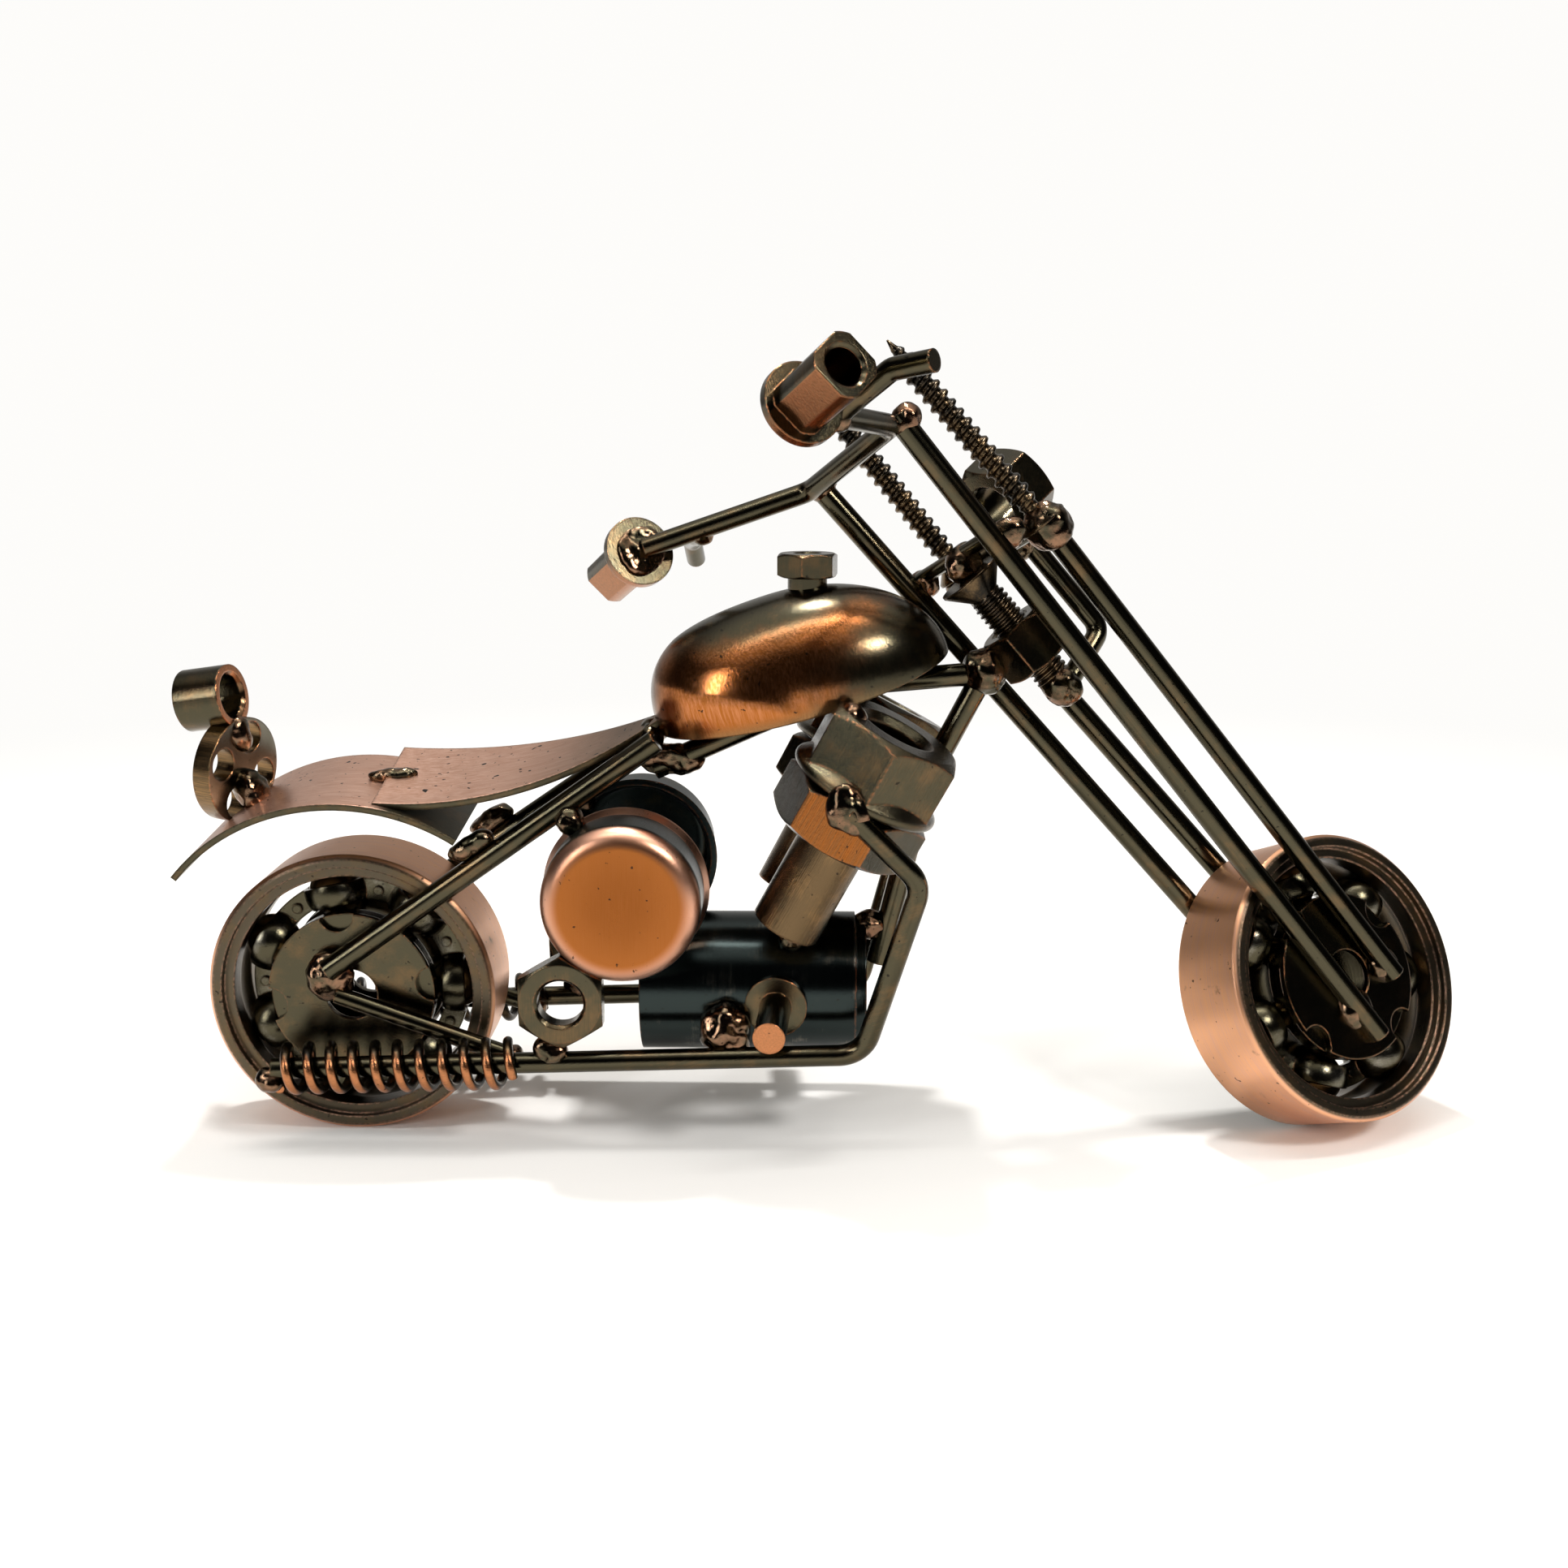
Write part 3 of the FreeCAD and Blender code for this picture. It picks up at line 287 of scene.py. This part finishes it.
def dress(piece, material):
    """Puts one material on every slot of an object."""
    if not piece.data.materials:
        piece.data.materials.append(material)
    for slot in piece.material_slots:
        slot.link = "OBJECT"
        slot.material = material


def plate(name, axis, **finish):
    """Plates one node about its own centre."""
    dress(nodes[name], plated(name + "_plating", centre_of(name), axis, **finish))


def end_zone(direction, copper=COPPER, low=0.75, high=0.92, beyond=None):
    """Copper where the surface faces a direction, only beyond a depth if one is given."""

    def zone(shader, local, streak, blotch, colour):
        worn = shader.mix(shader.remap(shader.step(streak, 0.30, 0.72), 0.5, 1.0), BRONZE, copper)
        shown = shader.facing(direction, low, high)
        if beyond is not None:
            past = shader.step(shader.split(local)["Z"], beyond, beyond + 0.5)
            shown = shader.math("MULTIPLY", shown, past)
        return shader.mix(shown, colour, worn)

    return zone


# ------------------------------------------------------------------ wheels

TREAD_START = (15.55, 15.8)  # radius at which a ring's face turns into its tread


def tread_zone(shader, local, streak, blotch, colour):
    """Pink copper on the tread only; the ring's faces stay dark."""
    tread = shader.step(shader.radius(local), *TREAD_START)
    copper = shader.mix(shader.step(streak, 0.35, 0.7), GOLDEN_COPPER, PINK_COPPER)
    darkened = shader.mix(shader.step(blotch, 0.66, 0.8), copper, BRONZE)
    return shader.mix(tread, colour, darkened)


def plate_wheel(prefix, hub, axle):
    """One bearing, with every finish set out about its axle."""

    def part(node, finish_name, **finish):
        material = plated(f"{prefix}_{finish_name}", hub, axle, **finish)
        dress(nodes[f"{prefix}_{node}"], material)

    part("outer_ring", "tread_plating", base=RING_BROWN, edge=PINK_COPPER, wear=0.4,
         edge_wear=0.75, edge_width=0.4, rough=(0.2, 0.42), brush=(9.0, 9.0, 9.0), turned=True,
         zone=tread_zone)
    part("inner_ring", "race_plating", wear=0.2, turned=True)
    part("balls", "ball_plating", base=BRONZE, rubbed=OLIVE, wear=0.25, edge_wear=0.0,
         rough=(0.03, 0.12), brush_depth=0.002)
    part("ball_cage", "cage_plating", rubbed=STEEL, wear=0.3, rough=(0.08, 0.26))
    for word in OUTWARD:
        part("hub_disc_" + word, "disc_plating_" + word, rough=(0.06, 0.26))


plate_wheel("front", FRONT_HUB, FRONT_AXLE)
plate_wheel("rear", REAR_HUB, REAR_AXLE)


# ------------------------------------------------------------------ rods, drums and crankcase

RODS = ["backbone_rod", "down_tube", "handlebar", "steering_bracket", "clamp_bar_front",
        "clamp_bar_rear"]
PAIRED_RODS = ("seat_stay", "chain_stay", "fork_rod_front", "fork_rod_rear", "lever",
               "exhaust_pipe")
for word in OUTWARD:
    RODS += [f"{stem}_{word}" for stem in PAIRED_RODS]
for name in RODS:
    plate(name, principal_axis(name), edge_wear=0.85, rough=(0.05, 0.22), brush=(5.0, 5.0, 0.12))

# Fine brushing drawn out upwards, in features per metre.
DRUM_BRUSHING = (15000.0, 15000.0, 260.0)
TANK_BRUSHING = (11000.0, 11000.0, 400.0)

DRUM_AMBER = (1.5, 7.2)  # radii over which the drum's face turns from amber to orange
DRUM_RIM = (6.3, 8.2)  # and from orange to pink


def drum_zone(direction):
    """A brushed orange face inside a pink turned edge, on a dark cup."""

    def zone(shader, local, streak, blotch, colour):
        radius = shader.radius(local)
        brushed = shader.noise(shader.place(), DRUM_BRUSHING, 3.0, 0.6)
        face = shader.mix(shader.step(radius, *DRUM_AMBER), AMBER, ORANGE_COPPER)
        face = shader.mix(shader.remap(brushed, 0.0, 0.22), face, COPPER)
        face = shader.mix(shader.step(radius, *DRUM_RIM), face, PINK_COPPER)
        return shader.mix(shader.facing(direction, 0.10, 0.45), colour, face)

    return zone


for word, outward in OUTWARD.items():
    plate("drum_cap_" + word, (0, outward, 0), base=BLUE_BLACK, rubbed=OLIVE, wear=0.25,
          rough=(0.2, 0.4), zone=drum_zone((0, outward, 0)))

plate("crankcase", (1, 0, 0), base=BLUE_BLACK, rubbed=STEEL, wear=0.2, rough=(0.10, 0.28),
      turned=True)


# ------------------------------------------------------------------ tank

TANK_PITCH = math.radians(-16)
TANK_ROLL = math.radians(11)
TANK_TURN = Matrix.Rotation(TANK_PITCH, 3, "Y") @ Matrix.Rotation(TANK_ROLL, 3, "X")

# Where the tank's finishes begin and end, in millimetres along the bike or up the tank.
COPPER_ALONG = (5.0, -5.0)
COPPER_SLANT = -0.7  # how far the copper's front edge leans for each millimetre up
CROWN_UP = (6.6, 4.2)
HEEL_ALONG = (-20.2, -17.0)
FOOT_UP = (-0.5, -3.0)
HEM_UP = (-1.4, -3.4)
HEM_ALONG = (9.0, 1.0)
CLOUD_SIZE = 12.0  # how far the copper's edge wanders

# The pressed dome is blunter at the back than at the nose: a squarer outline in its rear part.
REAR_BLUNTNESS = 0.8
REAR_RISE = 1.5


def tank_zone(shader, local, streak, blotch, colour):
    """Copper rubbed through in a slanting patch on the rear half, and a bronze hem below it; the
    crown and the nose stay dark."""
    up = shader.split(local)["Z"]
    along = shader.math("MULTIPLY", shader.split(shader.place())["X"], 1 / MM)
    cloud = shader.math("MULTIPLY", shader.math("SUBTRACT", blotch, 0.5), CLOUD_SIZE)
    slanted = shader.math("ADD", shader.math("ADD", along, cloud),
                          shader.math("MULTIPLY", up, COPPER_SLANT))
    rear = shader.step(slanted, *COPPER_ALONG)
    clouded_up = shader.math("ADD", up, shader.math("MULTIPLY", cloud, 0.15))
    crown = shader.step(clouded_up, *CROWN_UP)
    heel = shader.step(along, *HEEL_ALONG)
    shown = shader.math("MULTIPLY", shader.math("MULTIPLY", rear, crown), heel)
    copper = shader.mix(shader.step(streak, 0.35, 0.7), ORANGE_COPPER, COPPER)
    copper = shader.mix(shader.step(up, *FOOT_UP), copper, ORANGE_COPPER)
    hem = shader.math("MULTIPLY", shader.step(up, *HEM_UP), shader.step(along, *HEM_ALONG))
    grain = shader.noise(shader.place(), TANK_BRUSHING, 3.0, 0.65)
    gold = shader.remap(shader.step(grain, 0.35, 0.7), 0.2, 0.9)
    skirt = shader.mix(gold, BRONZE, GOLD_BRONZE)
    colour = shader.mix(shown, colour, copper)
    return shader.mix(shader.math("MULTIPLY", hem, 0.8), colour, skirt)


def fuller_tank():
    """The tank with its rear end swelled."""
    mesh = nodes["tank_shell"].data.copy()
    turn = np.array(TANK_TURN)
    points = vertex_array(mesh.vertices, "co") @ turn
    low, high = points.min(0), points.max(0)
    centre = np.array([(low[0] + high[0]) / 2, (low[1] + high[1]) / 2, low[2]])
    reach = np.array([(high[0] - low[0]) / 2, (high[1] - low[1]) / 2, high[2] - low[2]])
    unit = (points - centre) / reach
    blunt = 2 + REAR_BLUNTNESS * np.clip(-unit[:, 0] * REAR_RISE, 0, 1)
    length, height = np.abs(unit[:, 0]), np.abs(unit[:, 2])
    swell = np.hypot(length, height) / ((length ** blunt + height ** blunt) ** (1 / blunt))
    points = centre + (points - centre) * swell[:, None]
    mesh.vertices.foreach_set("co", (points @ turn.T).ravel())
    mesh.polygons.foreach_set("use_smooth", [True] * len(mesh.polygons))
    mesh.update()
    piece = add("tank_dome", mesh)
    dress(piece, plated("tank_plating", centre_of("tank_shell"), TANK_TURN.col[2], wear=0.3,
                        edge_wear=0.6, rough=(0.10, 0.26), brush=(4.0, 4.0, 0.25),
                        zone=tank_zone))
    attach(piece, "frame")
    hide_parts("tank_shell")


fuller_tank()


# ------------------------------------------------------------------ seat, fender and engine


def sheet_zone(start, end, shade_ahead_of=None):
    """Pale copper on the upper side, darkening from start to end along the bike; the sides that
    turn down keep the dark plating, painted shade.  Where a start of shade is given, the sheet
    keeps its dark plating ahead of it too, painted shade where it lies under another."""

    def zone(shader, local, streak, blotch, colour):
        place = shader.math("MULTIPLY", shader.split(shader.place())["X"], 1 / MM)
        along = shader.math("ADD", place, shader.math("MULTIPLY", blotch, 6.0))
        copper = shader.mix(shader.step(streak, 0.30, 0.75), PINK_COPPER, PALE_COPPER)
        # Darker towards one end along the bike, between start and end.
        darker_along = shader.math("MULTIPLY", shader.step(along, start, end), 0.85)
        darkened = shader.mix(darker_along, copper, BRONZE)
        specks = shader.step(shader.noise(local, 1.15, 1.0, 0.3), 0.275, 0.25)
        darkened = shader.mix(specks, darkened, DARK)
        # Painted shade: ahead of the given place, where another sheet lies over it, this one keeps
        # its dark plating.
        if shade_ahead_of is not None:
            darkened = shader.mix(shader.step(place, shade_ahead_of, shade_ahead_of + 2.5), darkened, colour)
        # Painted shade: only the sides that face up get the pale copper; the sides turned down
        # keep the dark plating.
        return shader.mix(shader.facing((0, 0, 1), 0.15, 0.4), colour, darkened)

    return zone


SHEETS = {
    "seat_plate": ((0.96, 0, 0.27), sheet_zone(-34.0, -17.0)),
    # Painted shade: the fender stays dark ahead of the seat's rear edge, where the seat lies over
    # it.
    "rear_fender": ((1, 0, 0), sheet_zone(-60.0, -74.0, shade_ahead_of=-49.5)),
}
for name, (axis, zone) in SHEETS.items():
    plate(name, axis, edge=DARK, wear=0.4, edge_wear=0.9, edge_width=0.45, rough=(0.24, 0.42),
          brush=(4.0, 4.0, 0.15), zone=zone)

for word, outward in OUTWARD.items():
    stack = principal_axis("engine_cylinder_" + word)
    engine_parts = {
        "engine_nut": {"zone": end_zone((-0.19, outward, 0.10), ORANGE_COPPER, 0.80, 0.97)},
        "flange_nut": {},
        "engine_cylinder": {"base": BRONZE, "rubbed": GOLD_BRONZE},
    }
    for stem, own in engine_parts.items():
        plate(f"{stem}_{word}", stack, edge_wear=0.8, edge_width=0.45, rough=(0.07, 0.30),
              brush=(6.5, 6.5, 0.22), brush_depth=0.04, **own)
    plate("foot_peg_" + word, (0, outward, 0), wear=0.4, edge_wear=0.8,
          zone=end_zone((0, outward, 0), beyond=2.0))


# ------------------------------------------------------------------ tail, nuts and mufflers


def disc_zone(shader, local, streak, blotch, colour):
    """Light grey worn faces with a copper-gold rim."""
    front = shader.facing(TAIL_DISC_AXIS, 0.7, 0.9)
    back = shader.facing(-TAIL_DISC_AXIS, 0.7, 0.9)
    rim = shader.mix(shader.step(streak, 0.4, 0.7), BRONZE, GOLD_BRONZE)
    face = shader.mix(blotch, OLIVE, STEEL)
    return shader.mix(shader.math("MAXIMUM", front, back), rim, face)


plate("tail_disc", TAIL_DISC_AXIS, wear=0.5, edge_wear=0.8, zone=disc_zone)

GRIP_ZONE = end_zone((-0.5, 0, -1), COPPER, 0.45, 0.95)
NUTS = {
    "fuel_cap_nut": None,
    "headstock_nut": None,
    "headlight_nut": None,
    "side_nut_right": None,
    "side_nut_left": None,
    "tail_sleeve": end_zone(TAIL_SLEEVE_AXIS, COPPER, 0.6, 0.95),
    "grip_right": GRIP_ZONE,
    "grip_left": GRIP_ZONE,
}
for name, zone in NUTS.items():
    plate(name, (0, 0, 1), wear=0.4, edge_wear=0.75, rough=(0.06, 0.26), brush=(6.0, 6.0, 0.3),
          zone=zone)

for word, outward in OUTWARD.items():
    plate("muffler_spring_" + word, (1, 0, 0), base=DARK, wear=0.4, edge_wear=0.0,
          rough=(0.16, 0.32), zone=end_zone((0, outward, -0.25), COPPER, 0.35, 0.75))


# ------------------------------------------------------------------ weld beads

# How the surface of a bead rises and falls: features per millimetre, and heights in millimetres.
BEAD_VOXEL = 0.16
LUMP_SCALE, LUMP_HEIGHT = 0.48, 0.42
RIPPLE_SCALE, RIPPLE_HEIGHT, RIPPLE_SHIFT = 1.3, 0.10, Vector((3, 1, 7))
PIT_SCALE, PIT_LEVEL, PIT_DEPTH, PIT_SHIFT = 0.75, 0.36, 0.5, Vector((9, 4, 2))
BEAD_INSET = 0.05


def weld_beads(name, body):
    """The plain beads remeshed and made lumpy, with a few blow holes."""
    piece = add(name + "_lumpy", nodes[name].data.copy())
    remesh = piece.modifiers.new("Remesh", "REMESH")
    remesh.mode = "VOXEL"
    remesh.voxel_size = BEAD_VOXEL * MM
    remesh.use_smooth_shade = True
    evaluated = piece.evaluated_get(bpy.context.evaluated_depsgraph_get())
    dense = bpy.data.meshes.new_from_object(evaluated)
    piece.modifiers.clear()
    piece.data = dense
    places = vertex_array(dense.vertices, "co")
    normals = vertex_array(dense.vertex_normals, "vector")
    reach = np.zeros(len(places))
    for index, point in enumerate(places / MM):
        place = Vector(point)
        lump = noise.noise(place * LUMP_SCALE) * LUMP_HEIGHT
        ripple = noise.noise(place * RIPPLE_SCALE + RIPPLE_SHIFT) * RIPPLE_HEIGHT
        pit = noise.noise(place * PIT_SCALE + PIT_SHIFT)
        hole = PIT_DEPTH * max(0.0, pit - PIT_LEVEL)
        reach[index] = lump + ripple - hole - BEAD_INSET
    places = places + normals * reach[:, None] * MM
    dense.vertices.foreach_set("co", places.ravel())
    dense.polygons.foreach_set("use_smooth", [True] * len(dense.polygons))
    dense.update()
    dense.materials.clear()
    dense.materials.append(plated(name + "_plating", (0, 0, 0), (0, 0, 1), rubbed=COPPERY_BRONZE,
                                  wear=0.5, edge_wear=0.0, rough=(0.03, 0.16),
                                  brush=(1.5, 1.5, 1.5), brush_depth=0.03))
    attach(piece, body)
    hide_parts(name)


weld_beads("frame_welds", "frame")
weld_beads("fork_welds", "fork")


# ------------------------------------------------------------------ threads

THREAD_SIDES = 40
THREAD_STEPS = 14  # rows of vertices in each turn of the thread
RIDGE_WIDTH = 0.36  # half of a ridge's foot, as a share of the pitch
RIDGE_STEEPNESS = 1.5  # above 1, it leaves a flat crest


def threaded(name, body, start, axis, profile, root, crest, pitch, low, high):
    """A screw with a real helix between the heights low and high: profile is (height, radius) of
    the blank, in millimetres."""
    profile_heights, profile_radii = zip(*profile)
    heights = sorted({*profile_heights, *np.arange(low, high, pitch / THREAD_STEPS)})
    vertices = []
    for height in heights:
        blank = np.interp(height, profile_heights, profile_radii)
        fade = min(1.0, max(0.0, (height - low) / pitch), max(0.0, (high - height) / pitch))
        inside = low <= height <= high
        for step in range(THREAD_SIDES):
            turn = step / THREAD_SIDES
            phase = ((height - low) / pitch - turn) % 1.0
            ridge = max(0.0, 1 - abs(phase - 0.5) / RIDGE_WIDTH)
            reach = blank + (crest - root) * min(1.0, ridge * RIDGE_STEEPNESS) * fade * inside
            angle = 2 * math.pi * turn
            vertices.append((reach * math.cos(angle), reach * math.sin(angle), height))
    faces = []
    for row in range(0, len(vertices) - THREAD_SIDES, THREAD_SIDES):
        for step in range(THREAD_SIDES):
            onward = (step + 1) % THREAD_SIDES
            faces.append((row + step, row + onward, row + THREAD_SIDES + onward,
                          row + THREAD_SIDES + step))
    faces.append(tuple(range(THREAD_SIDES))[::-1])
    faces.append(tuple(range(len(vertices) - THREAD_SIDES, len(vertices))))
    mesh = bpy.data.meshes.new(name + "_threaded")
    mesh.from_pydata(vertices, [], faces)
    turn = Vector(axis).to_track_quat("Z", "Y").to_matrix().to_4x4()
    mesh.transform(Matrix.Translation(start) @ turn @ Matrix.Scale(MM, 4))
    mesh.update()
    for face in mesh.polygons:
        face.use_smooth = len(face.vertices) == 4
    piece = add(name + "_threaded", mesh)
    mesh.materials.append(plated(name + "_plating", start, axis, base=DARK, wear=0.5,
                                 edge_wear=0.6, edge_width=0.12, rough=(0.14, 0.3),
                                 brush=(5.0, 5.0, 1.0)))
    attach(piece, body)
    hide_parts(name)


def span_along(name, axis):
    """Where a straight node starts, in metres, and how long it is along an axis, in
    millimetres."""
    points = vertex_array(nodes[name].data.vertices, "co")
    middle = (points.max(0) + points.min(0)) / 2
    heights = (points - middle) @ np.array(axis)
    across = points - middle - np.outer(heights, np.array(axis))
    centre = middle + across.mean(0)
    start = Vector(centre) + Vector(axis) * float(heights.min())
    return start, float(heights.max() - heights.min()) / MM


# The self-tapping fork screws, from the head up to the tip.
SCREW_ROOT, SCREW_CREST, SCREW_PITCH = 0.95, 1.38, 1.28
SCREW_HEAD_RADIUS, SCREW_HEAD_RIM, SCREW_HEAD_HEIGHT = 2.7, 0.3, 2.1
SCREW_TIP_LENGTH, SCREW_TIP_RADIUS, SCREW_TIP_BARE = 3.2, 0.1, 0.9

# The countersunk steering bolt, from its end up to the head.
BOLT_ROOT, BOLT_CREST, BOLT_PITCH = 1.68, 2.0, 0.7
BOLT_END_RADIUS, BOLT_CHAMFER = 1.45, 0.4
BOLT_THREAD_START, BOLT_THREAD_END = 0.3, 13.5
BOLT_HEAD_RADIUS, BOLT_HEAD_START = 3.7, 15.8

for word in OUTWARD:
    name = "fork_screw_" + word
    axis = principal_axis(name)
    start, length = span_along(name, axis)
    screw_blank = ((0.0, SCREW_HEAD_RADIUS), (SCREW_HEAD_RIM, SCREW_HEAD_RADIUS),
                   (SCREW_HEAD_HEIGHT, SCREW_ROOT), (length - SCREW_TIP_LENGTH, SCREW_ROOT),
                   (length, SCREW_TIP_RADIUS))
    threaded(name, "fork", start, axis, screw_blank, SCREW_ROOT, SCREW_CREST, SCREW_PITCH,
             SCREW_HEAD_HEIGHT, length - SCREW_TIP_BARE)

start, length = span_along("steering_bolt", STEERING_AXIS)
bolt_blank = ((0.0, BOLT_END_RADIUS), (BOLT_CHAMFER, BOLT_ROOT), (BOLT_THREAD_END, BOLT_ROOT),
              (BOLT_HEAD_START, BOLT_HEAD_RADIUS), (length, BOLT_HEAD_RADIUS))
threaded("steering_bolt", "fork", start, STEERING_AXIS, bolt_blank, BOLT_ROOT, BOLT_CREST,
         BOLT_PITCH, BOLT_THREAD_START, BOLT_THREAD_END)


# ------------------------------------------------------------------ camera, floor and light

CAMERA_PLACE = Vector((-2.160, -176.348, 79.106)) * MM
CAMERA_SENSOR, CAMERA_LENS = 36.0, 38.98
CAMERA_DOWN, CAMERA_ROLL, CAMERA_PAN = 12.22, -0.06, 0.93  # degrees
CAMERA_CLIP = 0.01

FLOOR_REACH = 3.0
FLOOR_DROP = 0.02
FLOOR_FADE = (95, 330)  # radii over which the paper fades into the backdrop


def place_camera():
    data = bpy.data.cameras.new("Camera")
    data.sensor_width = CAMERA_SENSOR
    data.lens = CAMERA_LENS
    data.clip_start = CAMERA_CLIP
    camera = add("Camera", data)
    camera.location = CAMERA_PLACE
    camera.rotation_euler = [math.radians(angle)
                             for angle in (90 - CAMERA_DOWN, CAMERA_ROLL, CAMERA_PAN)]
    bpy.context.scene.camera = camera


def floor():
    """White paper that fades into the backdrop."""
    mesh = bpy.data.meshes.new("Floor")
    corners = [(x * FLOOR_REACH, y * FLOOR_REACH, 0)
               for x, y in ((-1, -1), (1, -1), (1, 1), (-1, 1))]
    mesh.from_pydata(corners, [], [(0, 1, 2, 3)])
    piece = add("Floor", mesh)
    piece.location.z = -FLOOR_DROP * MM
    shader = Shader("paper")
    local = shader.local((0, 0, 0), (0, 0, 1))
    tooth = shader.noise(local, 1.5, 3.0)
    patch = shader.noise(local, 0.01, 2.0)
    colour = shader.mix(patch, PAPER_GREY, PAPER_WHITE)
    plain = shader.node("ShaderNodeNewGeometry").outputs["Normal"]
    lit = shader.surface(colour, 0.75, tooth, plain, 0.01, metallic=0.0)
    lit.inputs["Specular IOR Level"].default_value = 0.1
    far = shader.step(shader.radius(local), *FLOOR_FADE)
    glow = shader.node("ShaderNodeEmission", {"Color": BACKDROP, "Strength": 1.0})
    faded = shader.node("ShaderNodeMixShader", {0: far, 1: lit.outputs[0], 2: glow.outputs[0]})
    mesh.materials.append(shader.output(faded.outputs[0]))


def soft_light(name, place, target, size, power, colour):
    data = bpy.data.lights.new(name, "AREA")
    data.shape = "RECTANGLE"
    data.size, data.size_y = size
    data.energy = power
    data.color = colour
    light = add(name, data)
    light.location = place
    light.rotation_mode = "QUATERNION"
    light.rotation_quaternion = (Vector(target) - Vector(place)).to_track_quat("-Z", "Y")


def studio():
    """The room: white to the camera, even to matt surfaces, dark with a bright ceiling to polished
    ones."""
    world = bpy.data.worlds.new("Studio")
    bpy.context.scene.world = world
    world.use_nodes = True
    graph = Graph(world.node_tree)
    direction = graph.split(graph.coords.outputs["Generated"])
    ceiling = graph.step(direction["Z"], 0.66, 0.93)
    behind = graph.step(direction["Y"], 0.15, 0.9)
    room = graph.mix(behind, ROOM_DARK, ROOM_BEHIND)
    room = graph.mix(ceiling, room, ROOM_CEILING)
    ray = graph.node("ShaderNodeLightPath").outputs
    seen = graph.mix(ray["Is Diffuse Ray"], room, ROOM_EVEN)
    seen = graph.mix(ray["Is Camera Ray"], seen, BACKDROP)
    glow = graph.node("ShaderNodeBackground", {"Color": seen})
    graph.node("ShaderNodeOutputWorld", {"Surface": glow.outputs[0]})


place_camera()
floor()
soft_light("Key", place=(-0.05, 0.17, 0.62), target=(0, 0, 0.03), size=(0.05, 0.04), power=2.3,
           colour=(1, 0.985, 0.955))
soft_light("Fill", place=(0.36, -0.36, 0.46), target=(0, 0, 0.03), size=(0.12, 0.10), power=2.2,
           colour=(1, 0.985, 0.96))
soft_light("Strip", place=(-0.40, -0.40, 0.26), target=(0, 0, 0.04), size=(0.05, 0.34), power=1.2,
           colour=(0.97, 0.985, 1))
soft_light("Ceiling", place=(0.02, -0.10, 0.62), target=(0, 0, 0.03), size=(0.60, 0.06), power=1.3,
           colour=(1, 0.99, 0.97))
studio()
bpy.context.scene.view_settings.view_transform = "Standard"
